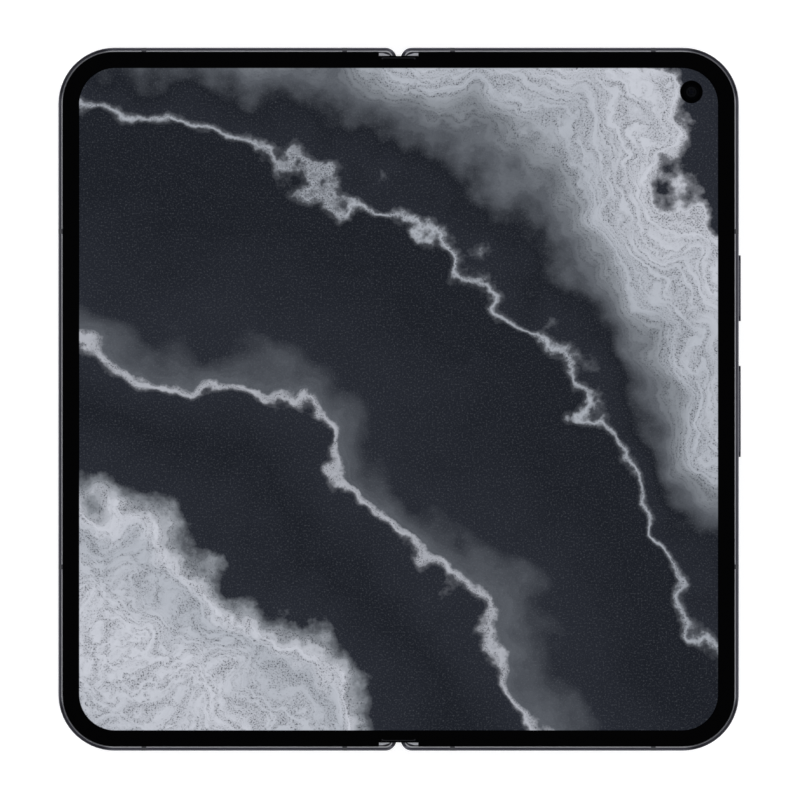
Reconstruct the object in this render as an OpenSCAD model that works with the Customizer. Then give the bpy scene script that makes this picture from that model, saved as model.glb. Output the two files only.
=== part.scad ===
// Foldable smartphone, lying open on its back, screen up.
// X runs across the two halves with the fold at 0, Y runs up the screen, Z is up.
// Inside a half, heights are counted from its back face.

/* [Overall size] */
// Width of the open phone over both halves
open_w = 150.2; // [144:0.1:160]
// Height of the phone from its bottom edge to its top edge
body_h = 155.2; // [148:0.1:165]
// Thickness of one half without the camera island
half_t = 5.1; // [5:0.05:5.8]
// Radius of the four outer corners in plan
corner_r = 12.4; // [11:0.1:15]
// Radius of the corners beside the fold in plan
fold_corner_r = 2.4; // [2.2:0.1:3]
// Gap between the two back walls at the fold when open
fold_line_gap = 1; // [0.8:0.05:1.4]

/* [Frame] */
// Thickness of the frame's side wall
wall_t = 1.9; // [1.7:0.05:2.1]
// Width of the metal rim around the inner screen
rim_w = 1; // [0.9:0.02:1.3]
// Width of the bevel on the rim's inner edge
rim_bevel = 0.24; // [0.1:0.01:0.25]
// Width of the metal rim around the back glass
back_rim_w = 1; // [0.8:0.05:1.2]
// Radius on the frame's long edges
edge_r = 0.8; // [0.5:0.05:0.9]
// Thickness of the ledges inside the frame
ledge_t = 0.4; // [0.3:0.05:0.5]
// Width of the ledges inside the frame
ledge_w = 1.2; // [1:0.05:1.4]
// Width of the metal strip on the back beside the fold
back_strip_w = 4; // [3.6:0.1:4.6]
// Width of the plastic antenna lines in the frame
antenna_w = 1.05; // [0.8:0.05:1.3]
// Depth of the plastic antenna lines
antenna_d = 1.2; // [1.1:0.05:1.4]
// Distance of the inner antenna lines from the fold
antenna_in = 11.9; // [9:0.1:16]
// Distance of the outer antenna lines from the side edge
antenna_out = 18.9; // [16:0.1:24]
// Distance of the antenna lines from the middle of the side edges
antenna_y = 37; // [34:0.5:42]

/* [Inner screen] */
// Depth of the screen surface below the top of the frame
screen_drop = 0.2; // [0.18:0.01:0.25]
// Thickness of the folding screen with its support film
screen_t = 0.75; // [0.6:0.01:0.8]
// Width of the black border at the sides
border_side = 3.48; // [3:0.02:4]
// Width of the black border at the top and bottom
border_end = 3.38; // [2.9:0.02:3.6]
// Depth of the plastic bezel's top face below the top of the frame
bezel_drop = 0.14; // [0.12:0.01:0.16]
// Width of the bezel's foot between the frame and the screen edge
bezel_foot = 0.7; // [0.5:0.05:0.8]
// Distance from the fold to where the bezel starts
bezel_start = 4.35; // [4.2:0.05:4.8]
// Half the width of the free screen strip over the hinge
fold_zone = 6.5; // [6:0.1:8]
// Radius of the camera hole in the screen
punch_r = 1.75; // [1.6:0.05:2.4]
// Distance of the inner camera from the right edge
inner_cam_side = 10.5; // [9:0.1:14]
// Distance of the inner camera from the top edge
inner_cam_top = 9.8; // [8.6:0.1:11]

/* [Plates and glass] */
// Thickness of the plate that carries the screen
plate_t = 0.6; // [0.5:0.02:0.7]
// Thickness of the back glass and of the cover glass
glass_t = 0.6; // [0.5:0.02:0.7]
// Radius on the outer edges of the glass
glass_edge_r = 0.35; // [0.2:0.01:0.45]
// Radius of the glass corners beside the fold
glass_fold_r = 1.5; // [1:0.1:3]
// Assembly gap between pieces that drop into each other
fit = 0.05; // [0.03:0.01:0.08]

/* [Hinge] */
// Distance of each fold axis from the middle of the phone
axis_x = 2.4; // [2.3:0.01:2.6]
// Air between the two inner faces when folded shut
shut_gap = 0.3; // [0.2:0.02:0.5]
// Thickness of the back walls over the spine
lip_t = 0.8; // [0.7:0.02:0.9]
// Running gap around the spine
run_gap = 0.15; // [0.1:0.01:0.2]
// Wall of the spine cover
spine_wall = 0.35; // [0.3:0.01:0.45]
// Distance of the spine's ends from the top and bottom edges
spine_end = 2.1; // [1.9:0.05:2.4]
// Distance of the outer hinge modules from the top and bottom edges
module_end = 27.6; // [26:0.1:32]
// Thickness of the end cheeks of a hinge module
cheek_t = 1.5; // [1.2:0.1:2]
// Length of the hinge arm's knuckle
knuckle_l = 10; // [8:0.5:12]
// Radius of the hinge arm's knuckle
knuckle_r = 0.95; // [0.9:0.01:0.98]
// Radius of the hinge pins
pin_r = 0.42; // [0.35:0.01:0.46]
// Radial running gap of the knuckle on its pin
pin_fit = 0.04; // [0.02:0.01:0.06]
// Thickness of the hinge arm
arm_t = 0.7; // [0.6:0.02:0.8]
// Distance from the fold to the end of the hinge arm
arm_end = 8.6; // [8.2:0.1:9]
// Number of teeth on each timing gear
gear_teeth = 10; // [10:2:12]
// Length of the timing gears
gear_l = 2.2; // [1.5:0.1:3]
// Flank backlash of the timing gears
backlash = 0.03; // [0.02:0.005:0.04]
// Number of friction discs on each pin
disc_count = 4; // [2:1:6]
// Thickness of one friction disc
disc_t = 0.3; // [0.2:0.02:0.4]
// Thickness of the tilting support plates and the middle plate
wing_t = 0.25; // [0.2:0.01:0.3]
// Distance from the fold to the inner edge of a tilting plate
wing_in = 1.2; // [1.15:0.01:1.4]
// Distance from the fold to the tilting plate's own pivot
wing_pivot_x = 9.6; // [9.4:0.1:10.5]
// Radius of the tilting plate's pivot bead
bead_r = 0.4; // [0.35:0.01:0.45]
// Half the width of the middle support plate
mid_plate_half = 0.75; // [0.6:0.01:0.8]

/* [Camera island] */
// Width of the camera island
island_w = 40; // [36:0.5:44]
// Length of the camera island
island_l = 33; // [30:0.5:36]
// Height of the camera island above the back glass
island_h = 2.1; // [1.6:0.05:2.6]
// Plan radius of the island's corners
island_r = 9; // [6:0.5:12]
// Radius on the island's outer edge
island_edge_r = 0.9; // [0.5:0.05:1.2]
// Wall thickness of the island
island_wall = 1.1; // [0.9:0.05:1.3]
// Distance of the island from the outer edge of the phone
island_side = 9; // [8:0.5:12]
// Distance of the island from the top edge of the phone
island_top = 12.5; // [11:0.5:16]
// Height of the metal lens rings above the island
ring_h = 0.35; // [0.2:0.05:0.5]
// Width of the metal lens rings
ring_w = 0.8; // [0.6:0.05:1]
// Glass radii of the three lenses
lens_r = [5.4, 4.7, 4.7];
// Places of the three lenses from the island's centre
lens_at = [[9.6, 6.6], [-9.6, 6.6], [9.6, -7.4]];
// Radius of the flash window
flash_r = 2.4; // [1.8:0.1:3]
// Place of the flash window from the island's centre
flash_at = [-10.4, -7.4];

/* [Keys, sockets and holes] */
// Height of the side keys across the edge
key_t = 2; // [1.6:0.05:2.2]
// Height of the side keys' centre line above the back face
key_z = 2.45; // [2.3:0.01:2.6]
// How far the side keys stand out of the edge
key_out = 0.46; // [0.3:0.02:0.6]
// Gap around the side keys and around the card tray
key_gap = 0.08; // [0.06:0.01:0.12]
// Length of the power key
power_l = 14.6; // [12:0.1:17]
// Place of the power key along the edge
power_y = 24.5; // [23:0.1:27]
// Length of the volume key
volume_l = 20.2; // [18:0.1:23]
// Place of the volume key along the edge
volume_y = -2.7; // [-5:0.1:0]
// Outside width of the charging socket's shell
usb_w = 9; // [8.9:0.02:9.2]
// Outside height of the charging socket's shell
usb_t = 3.2; // [3.15:0.01:3.3]
// Sheet thickness of the charging socket's shell
usb_wall = 0.32; // [0.3:0.01:0.34]
// Depth of the charging socket
usb_l = 7.2; // [6.8:0.1:8]
// Height of the charging socket's centre above the back face
usb_z = 2.4; // [2.35:0.01:2.45]
// Radius of the round sound holes
sound_r = 0.55; // [0.4:0.05:0.65]
// Spacing of the round sound holes
sound_step = 1.9; // [1.6:0.05:2.2]
// Number of round sound holes beside the socket
sound_count = 5; // [3:1:6]
// Length of the card tray's face
tray_face_l = 15.4; // [14:0.1:17]
// Height of the card tray's face
tray_face_t = 2.2; // [2:0.05:2.4]
// Length of the card tray behind its face
tray_l = 24; // [22:0.5:26]
// Width of the card tray behind its face
tray_w = 12.6; // [12.4:0.1:13]
// Thickness of the card tray behind its face
tray_t = 0.9; // [0.8:0.02:1]
// Width of the card tray's frame round the card
tray_border = 1.2; // [1:0.05:1.4]
// Length of the card pocket
card_l = 15.2; // [15:0.1:16]

/* [Inside] */
// Thickness of the circuit boards
board_t = 0.6; // [0.5:0.05:0.8]
// Thickness of the batteries
battery_t = 2.3; // [1.8:0.05:2.4]
// Length of the taped strip at a battery's end
battery_strip = 4; // [3:0.5:6]
// Thickness of the shield cans
can_t = 1.3; // [1:0.05:1.6]
// Distance of the right battery from the bottom edge
battery_r_bottom = 19.6; // [18.5:0.1:24]
// Distance of the left battery from the bottom edge
battery_l_bottom = 33.6; // [32:0.1:38]
// Distance of the left battery from the top edge
battery_l_top = 25.6; // [18:0.1:30]
// Distance of both batteries from the side edge
battery_side = 10.1; // [9.5:0.1:14]
// Length of the main board from the top edge down
main_board_l = 47.6; // [44:0.1:52]
// Width of the charging board
charge_board_w = 18; // [16:0.5:19]
// Length of the left board
left_board_l = 26; // [25:0.5:27]
// Distance of the plate screws from the middle of a half's ends
screw_apart = 13; // [12:0.5:16]
// Distance of the side plate screws from the top and bottom edges
screw_corner = 25.6; // [24:0.1:30]
// Distance of the magnets from the top and bottom edges
magnet_end = 19.6; // [18:0.1:24]
// Distance of the batteries from the fold
battery_x = 13; // [12.5:0.1:14]
// Outer radius of the charging coil
coil_r = 21; // [18:0.5:24]
// Radius of the plate screws' heads
screw_head_r = 0.55; // [0.5:0.01:0.6]
// Radius of the plate screws' shanks
screw_r = 0.35; // [0.3:0.01:0.38]

/* [Hidden] */

$fn = 64;
nothing = 0.01;
half_w = open_w / 2;
half_h = body_h / 2;
fold_edge = fold_line_gap / 2;
usb_x = half_w / 2;
tray_x = half_w / 2;
base_z = island_h + ring_h;
inner_cam = [half_w - inner_cam_side, half_h - inner_cam_top];

// Heights inside a half, from the back face up
screen_top = half_t - screen_drop;
screen_z = screen_top - screen_t;
plate_z = screen_z - plate_t;
bezel_z = half_t - bezel_drop;
ledge_z = plate_z - ledge_t;

// Cross-section of the hinge
axis_z = half_t + shut_gap / 2 - axis_x;
bay_r = axis_z - lip_t;
spine_r = bay_r - run_gap;
trough_r = spine_r - spine_wall;
bay_x = axis_x + bay_r;
bay_y = half_h - spine_end + 0.3;
spine_y = half_h - spine_end;
block_x = bay_x + 1.3;
block_top = axis_z - 0.05;
rib_x0 = wing_pivot_x - bead_r - 0.15;
rib_x1 = wing_pivot_x + bead_r + 0.9;
plate_x = wing_pivot_x + bead_r + 0.1;
bead_z = screen_z - bead_r;
arm_z = axis_z + 0.1;
gear_r = axis_x / 3;
gear_m = 2 * gear_r / gear_teeth;
gear_tip = gear_r + 0.8 * gear_m;
gear_root = gear_r - 1.05 * gear_m;
pressure = 25;

// Stations along one hinge module, from its lower end
slack = 0.1;
gear_y0 = cheek_t + slack;
knuckle_y0 = gear_y0 + gear_l;
knuckle_y1 = knuckle_y0 + knuckle_l;
disc_y0 = knuckle_y1 + slack / 2;
disc_pitch = disc_t + 0.02;
cheek_y1 = disc_y0 + disc_count * disc_pitch + slack / 2;
module_l = cheek_y1 + cheek_t;
notch_gap = 0.4;

// Camera island
island_x = half_w - island_side - island_w / 2;
island_y = half_h - island_top - island_l / 2;
neck_step = 1;

inner_r = corner_r - wall_t;
sound_out = 9;
shelf_z = 2.2;
tray_z = 2.3;
tray_lip = 1.2;

// Hinge modules and timing gears
module_y = [module_end - half_h, 0, half_h - module_end];
base_r = gear_r * cos(pressure);
flank = [gear_root, for (i = [0 : 3]) base_r + (gear_tip - base_r) * i / 3];

// Boards and batteries
board_z = plate_z - board_t;
board_x0 = battery_x;
board_x1 = half_w - wall_t - ledge_w - 1;
board_y0 = half_h - main_board_l;
board_y1 = half_h - wall_t - ledge_w - 0.4;
board_notch = 7;
well = 5.2;
part_gap = 1;
charge_board_l = 6;
charge_board_y = usb_l + 1.4 * part_gap + charge_board_l / 2 - half_h;
bottom_row_y = wall_t + ledge_w + 6 - half_h;
battery_w = half_w - battery_side - battery_x;
battery_mid_x = battery_x + battery_w / 2;
battery_r_y0 = battery_r_bottom - half_h;
battery_r_y1 = board_y0 - 4 * part_gap;
cover_camera_r = 2;
cover_camera_y = half_h - inner_cam_top + 1.2;
screw_inset = wall_t + ledge_w / 2;

// ---------------------------------------------------------------- shared shapes

// Put a half at its height over the table
module lifted() translate([0, 0, base_z]) children();

// Turn right-hand pieces into left-hand ones
module flipped() mirror([1, 0, 0]) children();

// Outline of a half in plan: sharp at from_x, rounded at the outer corners
module half_outline(from_x, to_x, to_y, r) {
    translate([from_x, -to_y]) square([to_x - r - from_x, 2 * to_y]);
    translate([from_x, r - to_y]) square([to_x - from_x, 2 * (to_y - r)]);
    for (s = [-1, 1]) translate([to_x - r, s * (to_y - r)]) circle(r);
}

// The same outline moved in from the outer edge by one step
module inset_outline(from_x, step) {
    half_outline(from_x, half_w - step, half_h - step, corner_r - step);
}

// A plan outline made into a slab
module slab(z, t) translate([0, 0, z]) linear_extrude(t) children();

// A bar along Y with its section drawn in X and Z
module along_y(y0, y1) translate([0, y1, 0]) rotate([90, 0, 0]) linear_extrude(y1 - y0) children();

// A round bar along Y
module rod(x, z, y0, y1, r) along_y(y0, y1) translate([x, z]) circle(r);

// Carry a section round a plate; the section is drawn with X inwards and Y up
module round_sweep(x0, x1, y1, r0, r1) {
    for (s = [0, 1]) mirror([0, s, 0]) {
        translate([x1 - r1, y1 - r1, 0]) rotate_extrude(angle = 90)
            translate([r1, 0]) mirror([1, 0]) children();
        translate([x0 + r0, y1 - r0, 0]) rotate([0, 0, 90]) rotate_extrude(angle = 90)
            translate([r0, 0]) mirror([1, 0]) children();
        translate([x0 + r0, y1, 0]) rotate([90, 0, 90]) linear_extrude(x1 - r1 - x0 - r0)
            mirror([1, 0]) children();
    }
    along_y(r1 - y1, y1 - r1) translate([x1, 0]) mirror([1, 0]) children();
    along_y(r0 - y1, y1 - r0) translate([x0, 0]) children();
}

// Rounded rectangle in plan
module soft_rect(w, l, r) {
    square([w, l - 2 * r], center = true);
    square([w - 2 * r, l], center = true);
    for (x = [-1, 1], y = [-1, 1]) translate([x * (w / 2 - r), y * (l / 2 - r)]) circle(r);
}

// Bar with round ends, w long and t thick
module stadium(w, t) {
    square([w - t, t], center = true);
    for (s = [-1, 1]) translate([s * (w - t) / 2, 0]) circle(t / 2);
}

// Rounded rectangle between two corners
module can_rect(x0, x1, y0, y1) translate([(x0 + x1) / 2, (y0 + y1) / 2]) soft_rect(x1 - x0, y1 - y0, 0.8);

// A plate with rounded lower edges, from_x to to_x and to_y to both sides
module pillow_plate(x0, x1, y1, r0, r1, t, e) {
    round_sweep(x0, x1, y1, r0, r1) {
        translate([0, e]) square([r0, t - e]);
        translate([e, 0]) square([r0 - e, t]);
        intersection() {
            translate([e, e]) circle(e);
            square([e, t]);
        }
    }
    in = r0 - nothing;
    slab(0, t) half_outline(x0 + in, x1 - in, y1 - in, r1 - in);
}

// ---------------------------------------------------------------- frame of a half

// Section of the frame's wall, rounded at both long edges and bevelled inside the rim
module wall_section() {
    bevel_z = half_t - rim_bevel;
    difference() {
        union() {
            translate([0, edge_r]) square([wall_t, half_t - 2 * edge_r]);
            translate([edge_r, 0]) square([wall_t - edge_r, half_t]);
            for (z = [edge_r, half_t - edge_r]) translate([edge_r, z]) circle(edge_r);
        }
        translate([rim_w, bevel_z]) square([wall_t, 1]);
        polygon([[rim_w - 2 * rim_bevel, half_t + rim_bevel], [rim_w + rim_bevel, bevel_z - rim_bevel],
            [rim_w + rim_bevel, half_t + rim_bevel]]);
    }
}

// Ledge ring inside the wall
module ledge(z) slab(z, ledge_t) difference() {
    inset_outline(bay_x, wall_t - 0.3);
    half_outline(bay_x - 1, half_w - wall_t - ledge_w, half_h - wall_t - ledge_w, inner_r - ledge_w);
}

// Back wall, block beside the spine and the shelf that carries the arms
module fold_side() {
    lip_y = half_h - fold_corner_r;
    translate([fold_edge + edge_r, -lip_y, 0]) cube([block_x - fold_edge - edge_r, 2 * lip_y, block_top]);
    translate([block_x - nothing, wall_t - half_h, shelf_z])
        cube([rib_x1 - block_x + nothing, body_h - 2 * wall_t, block_top - shelf_z]);
    translate([rib_x0, wall_t - half_h, block_top - nothing])
        cube([rib_x1 - rib_x0, body_h - 2 * wall_t, plate_z - block_top + nothing]);
    translate([block_x - nothing, wall_t - half_h, glass_t])
        cube([1, body_h - 2 * wall_t, ledge_t]);
}

// Space that the spine needs beside a half
module spine_bay() {
    along_y(-bay_y, bay_y) {
        translate([axis_x, axis_z]) circle(bay_r);
        translate([-1, lip_t]) square([axis_x + 1, half_t]);
        translate([-1, axis_z]) square([bay_x + 1, half_t]);
    }
}

// The frame's end walls stay inside this circle so that they pass each other
module end_wall_relief() {
    difference() {
        translate([-1, -half_h - 1, axis_z]) cube([axis_x + 1, body_h + 2, half_t]);
        rod(axis_x, axis_z, -half_h - 2, half_h + 2, axis_x - shut_gap / 4);
    }
}

// Places of the antenna lines: end-edge slices, then side-edge slices
module antenna_slices(grow) {
    w = antenna_w + grow;
    for (x = [antenna_in, half_w - antenna_out], s = [-1, 1])
        translate([x - w / 2, s * (half_h - antenna_d / 2 + 1) - (antenna_d / 2 + 1), -1])
            cube([w, antenna_d + 2, half_t + 2]);
    for (s = [-1, 1]) translate([half_w - antenna_d, s * antenna_y - w / 2, -1])
        cube([antenna_d + 2, w, half_t + 2]);
}

// Frame shell common to both halves
module half_frame() {
    difference() {
        union() {
            round_sweep(fold_edge, half_w, half_h, fold_corner_r, corner_r) wall_section();
            ledge(glass_t);
            ledge(ledge_z);
            fold_side();
        }
        spine_bay();
        end_wall_relief();
        slab(screen_z, half_t) inset_outline(bezel_start, rim_w);
        slab(-1, glass_t + 1) glass_outline(0);
        slab(block_top, half_t) translate([fold_edge + wall_t, wall_t - half_h])
            square([rib_x0 - fold_edge - wall_t, body_h - 2 * wall_t]);
        rod(wing_pivot_x, bead_z, -bay_y, bay_y, bead_r + fit);
        plate_screw_places() cylinder(r = screw_r + fit, h = half_t);
        antenna_slices(0);
        arm_screw_places() cylinder(r = screw_r, h = half_t);
    }
}

// Plastic lines let into the frame
module half_antenna_lines() {
    intersection() {
        difference() {
            round_sweep(fold_edge, half_w, half_h, fold_corner_r, corner_r) wall_section();
            slab(screen_z, half_t) inset_outline(bezel_start, rim_w);
            slab(-1, glass_t + 1) glass_outline(0);
        }
        antenna_slices(0);
    }
}

// Outline of the back glass, moved in by a gap
module glass_outline(gap) {
    x0 = fold_edge + back_strip_w + gap;
    x1 = half_w - back_rim_w - gap;
    y1 = half_h - back_rim_w - gap;
    half_outline(x0, x1, y1, corner_r - back_rim_w - gap);
}

// ---------------------------------------------------------------- plates, bezel, screen

// Places of the screws that hold the screen plate
module plate_screw_places() {
    for (x = [usb_x - screw_apart, usb_x + screw_apart], s = [-1, 1])
        translate([x, s * (half_h - screw_inset), ledge_z - nothing]) children();
    for (s = [-1, 1])
        translate([half_w - screw_inset, s * (half_h - screw_corner), ledge_z - nothing]) children();
}

// Plate under the screen
module half_plate() {
    difference() {
        slab(plate_z, plate_t) inset_outline(plate_x, wall_t + fit);
        plate_screw_places() cylinder(r = screw_r + fit, h = half_t);
        plate_screw_places() translate([0, 0, ledge_t + plate_t / 2])
            cylinder(r = screw_head_r + fit, h = half_t);
    }
}

// Screws that hold the screen plate
module half_plate_screws() {
    plate_screw_places() {
        translate([0, 0, nothing]) cylinder(r = screw_r, h = ledge_t + plate_t / 2);
        translate([0, 0, ledge_t + plate_t / 2]) cylinder(r = screw_head_r, h = plate_t / 2);
    }
}

// Black bezel that covers the screen's edge
module half_bezel() {
    window_x = half_w - rim_w - border_side;
    window_y = half_h - rim_w - border_end;
    window_r = corner_r - rim_w - border_side;
    foot = rim_w + fit + bezel_foot;
    difference() {
        slab(screen_z, bezel_z - screen_z) inset_outline(bezel_start, rim_w + fit);
        slab(screen_z - 1, screen_top - screen_z + 1) inset_outline(bezel_start - 1, foot);
        slab(screen_z, half_t) half_outline(bezel_start - 1, window_x, window_y, window_r);
    }
}

// Outline of the screen panel
module screen_outline(from_x) inset_outline(from_x, rim_w + fit + bezel_foot + 0.15);

// Stiff part of the screen on a half
module half_screen() slab(screen_z, screen_t) screen_outline(fold_zone);

// ---------------------------------------------------------------- hinge pieces

// Lower part of a stadium across both fold axes, in X and Z
module trough_section(r) {
    difference() {
        union() {
            for (s = [-1, 1]) translate([s * axis_x, axis_z]) circle(r);
            translate([-axis_x, axis_z - r]) square([2 * axis_x, 2 * r]);
        }
        translate([-axis_x - r - 1, axis_z]) square([2 * (axis_x + r + 1), r + 1]);
    }
}

// Repeat along the hinge modules, starting at each module's lower end
module each_module() for (y = module_y) translate([0, y - module_l / 2, 0]) children();

// Tooth flank: half the tooth's angle at radius r
function inv(a) = tan(a) - a * PI / 180;
function half_tooth(r, rb) = 90 / gear_teeth - backlash / gear_r * 90 / PI
    + (inv(pressure) - (r > rb ? inv(acos(rb / r)) : 0)) * 180 / PI;

// Timing gear in X and Z, turned by a start angle
module gear_section(start) {
    polygon([for (k = [0 : gear_teeth - 1], side = [-1, 1], i = [0 : len(flank) - 1])
        let (r = side < 0 ? flank[i] : flank[len(flank) - 1 - i],
             a = start + k * 360 / gear_teeth + side * half_tooth(r, base_r))
        [r * cos(a), r * sin(a)]]);
}

// Section of a hinge arm: over the spine wall, then down on the shelf
module arm_section() {
    foot_x = bay_x + 0.15;
    translate([axis_x, arm_z]) square([arm_end - axis_x, arm_t]);
    translate([foot_x, block_top]) square([arm_end - foot_x, arm_z + arm_t - block_top]);
    translate([axis_x, axis_z]) circle(knuckle_r);
}

// Places of the screws through the hinge arms
module arm_screw_places() {
    each_module() for (y = [knuckle_y0 + 2.5, knuckle_y1 - 2.5])
        translate([arm_end - 1.6, y, shelf_z - nothing]) children();
}

// Hinge arms with their gear ends and screws
module half_hinge_arms(start) {
    difference() {
        each_module() {
            along_y(knuckle_y0, knuckle_y1) arm_section();
            along_y(gear_y0, knuckle_y0 + nothing) translate([axis_x, axis_z]) gear_section(start);
        }
        each_module() rod(axis_x, axis_z, -1, module_l + 1, pin_r + pin_fit);
    }
    arm_screw_places() {
        translate([0, 0, nothing]) cylinder(r = screw_r, h = arm_z + arm_t - shelf_z - nothing);
        translate([0, 0, arm_z + arm_t - shelf_z - nothing]) cylinder(r = 2 * screw_r, h = ledge_t / 2);
    }
}

// Tilting support plate with its pivot bead, notched over the hinge modules
module half_wing() {
    wing_y = spine_y - cheek_t - notch_gap;
    difference() {
        union() {
            translate([wing_in, -wing_y, screen_z - wing_t])
                cube([wing_pivot_x - wing_in, 2 * wing_y, wing_t]);
            rod(wing_pivot_x, bead_z, -wing_y, wing_y, bead_r);
        }
        each_module() translate([0, -notch_gap, 0])
            cube([arm_end + notch_gap, module_l + 2 * notch_gap, half_t]);
    }
}

// Idler gears on their own stub shafts
module idlers(side, start) {
    each_module() difference() {
        along_y(gear_y0, gear_y0 + gear_l - slack) translate([side * gear_r, axis_z]) gear_section(start);
        rod(side * gear_r, axis_z, 0, module_l, pin_r - 0.1 + pin_fit);
    }
}

// ================================================================ right half

// Stadium-shaped bar pushed in through the bottom edge
module bottom_slot(x, z, w, t, depth) {
    translate([x, depth - half_h, z]) rotate([90, 0, 0]) linear_extrude(depth + 1) stadium(w, t);
}

// Row of round holes through the bottom edge
module sound_holes(x0, count) {
    for (i = [0 : count - 1])
        rod(x0 + i * sound_step, half_t / 2, -half_h - 1, -half_h + wall_t + 1, sound_r);
}

// Key seen from the side: a stadium in Y and Z carried along X
module key_bar(y, l, t, x0, x1) {
    translate([x0, y, key_z]) rotate([90, 0, 90]) linear_extrude(x1 - x0) stadium(l, t);
}

module right_frame() {
    color([0.38, 0.38, 0.4]) lifted() difference() {
        half_frame();
        for (k = [[power_y, power_l], [volume_y, volume_l]])
            key_bar(k[0], k[1] + 2 * key_gap, key_t + 2 * key_gap, half_w - wall_t - ledge_w - 1, half_w + 1);
        for (k = [[power_y, power_l], [volume_y, volume_l]])
            translate([half_w - wall_t - ledge_w - 1, k[0] - k[1] / 2 - 2, glass_t + ledge_t])
                cube([ledge_w + 1, k[1] + 4, plate_z - glass_t - ledge_t]);
        bottom_slot(usb_x, usb_z, usb_w + 2 * fit, usb_t + 2 * fit, usb_l + 1);
        sound_holes(usb_x + sound_out, sound_count);
        sound_holes(usb_x - sound_out, 1);
        translate([0, body_h, 0]) sound_holes(usb_x, 1);
    }
}

module right_antenna_lines() color([0.3, 0.3, 0.32]) lifted() half_antenna_lines();

module right_plate() {
    color([0.62, 0.63, 0.65]) lifted() difference() {
        half_plate();
        translate(inner_cam) cylinder(r = punch_r + 1 + fit, h = half_t);
        bottom_slot(usb_x, usb_z, usb_w + 4 * fit, usb_t + 4 * fit, usb_l + 1);
    }
}

module right_bezel() color([0.03, 0.03, 0.03]) lifted() half_bezel();

module right_screen() {
    color([0.15, 0.17, 0.2]) lifted() difference() {
        half_screen();
        translate(inner_cam) cylinder(r = punch_r, h = 2 * half_t);
    }
}

module right_plate_screws() color([0.75, 0.75, 0.76]) lifted() half_plate_screws();

// Pouch cell under the screen plate, with its thin taped strip at the upper end
module pouch_cell(y0, y1) {
    pouch_y1 = y1 - battery_strip;
    strip_w = battery_w - 4 * part_gap;
    strip_t = battery_t / 2;
    slab(plate_z - battery_t, battery_t)
        translate([battery_mid_x, (y0 + pouch_y1) / 2]) soft_rect(battery_w, pouch_y1 - y0, 2);
    slab(plate_z - strip_t, strip_t)
        translate([battery_mid_x - strip_w / 2, pouch_y1 - part_gap]) square([strip_w, battery_strip]);
}

module right_battery() color([0.2, 0.2, 0.22]) lifted() pouch_cell(battery_r_y0, battery_r_y1);

module main_board() {
    color([0.1, 0.3, 0.2]) lifted() difference() {
        slab(board_z, board_t) difference() {
            translate([board_x0, board_y0]) square([board_x1 - board_x0, board_y1 - board_y0]);
            for (p = lens_at) translate([island_x + p[0], island_y + p[1]])
                square(2 * (well + fit), center = true);
            translate(inner_cam) circle(punch_r + 1 + fit);
            translate([board_x1 - board_notch, board_y1 - board_notch]) square(board_notch + 1);
        }
    }
}

module shield_cans() {
    side_x = island_x + lens_at[1][0] - well - part_gap;
    top_y = island_y + lens_at[1][1] + well + part_gap;
    middle_y = (board_y0 + board_y1) / 2;
    color([0.7, 0.7, 0.7]) lifted() slab(board_z - can_t, can_t) {
        can_rect(board_x0 + part_gap, side_x, board_y0 + part_gap, middle_y - part_gap);
        can_rect(board_x0 + part_gap, side_x, middle_y + part_gap, board_y1 - part_gap);
        can_rect(side_x + 2 * part_gap, inner_cam[0] - punch_r - 3 * part_gap, top_y, board_y1 - part_gap);
    }
}

module charge_board() {
    color([0.1, 0.3, 0.2]) lifted() {
        slab(board_z, board_t) translate([usb_x, charge_board_y])
            square([charge_board_w, charge_board_l], center = true);
        slab(board_z - can_t, can_t) translate([usb_x, charge_board_y])
            square([charge_board_w / 2, charge_board_l - 2 * part_gap], center = true);
    }
}

module usb_shell() {
    color([0.7, 0.71, 0.72]) lifted() difference() {
        translate([usb_x, usb_l - half_h, usb_z]) rotate([90, 0, 0]) linear_extrude(usb_l - edge_r / 2)
            stadium(usb_w, usb_t);
        translate([usb_x, usb_l - half_h - usb_wall, usb_z]) rotate([90, 0, 0]) linear_extrude(usb_l + 1)
            stadium(usb_w - 2 * usb_wall, usb_t - 2 * usb_wall);
    }
}

module usb_tongue() {
    tongue_w = 6.68;
    tongue_t = 0.7;
    color([0.05, 0.05, 0.05]) lifted()
        translate([usb_x - tongue_w / 2, 1 - half_h, usb_z - tongue_t / 2])
            cube([tongue_w, usb_l - usb_wall - 1, tongue_t]);
}

module loudspeaker() {
    x0 = usb_x + charge_board_w / 2 + part_gap;
    x1 = half_w - battery_side;
    color([0.12, 0.12, 0.13]) lifted() slab(plate_z - battery_t, battery_t)
        translate([(x0 + x1) / 2, bottom_row_y]) soft_rect(x1 - x0, 11, 1.5);
}

module vibration_motor() {
    motor_w = 11;
    motor_l = 9;
    color([0.6, 0.6, 0.62]) lifted() slab(plate_z - battery_t, battery_t)
        translate([usb_x - charge_board_w / 2 - part_gap - motor_w / 2, bottom_row_y])
            soft_rect(motor_w, motor_l, 1);
}

module charging_coil() {
    color([0.75, 0.45, 0.25]) lifted() slab(glass_t, 0.3)
        translate([battery_mid_x, (battery_r_y0 + battery_r_y1) / 2]) difference() {
            circle(coil_r);
            circle(coil_r / 2);
        }
}

// Glass let into the back of a half
module back_pane() {
    pillow_plate(fold_edge + back_strip_w + fit, half_w - back_rim_w - fit, half_h - back_rim_w - fit,
        glass_fold_r, corner_r - back_rim_w - fit, glass_t, glass_edge_r);
}

module island_place() translate([island_x, island_y, 0]) children();

// Outline of the island where it reaches through the glass
module island_neck(gap) {
    soft_rect(island_w - 2 * neck_step + 2 * gap, island_l - 2 * neck_step + 2 * gap,
        island_r - neck_step + gap);
}

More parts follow.
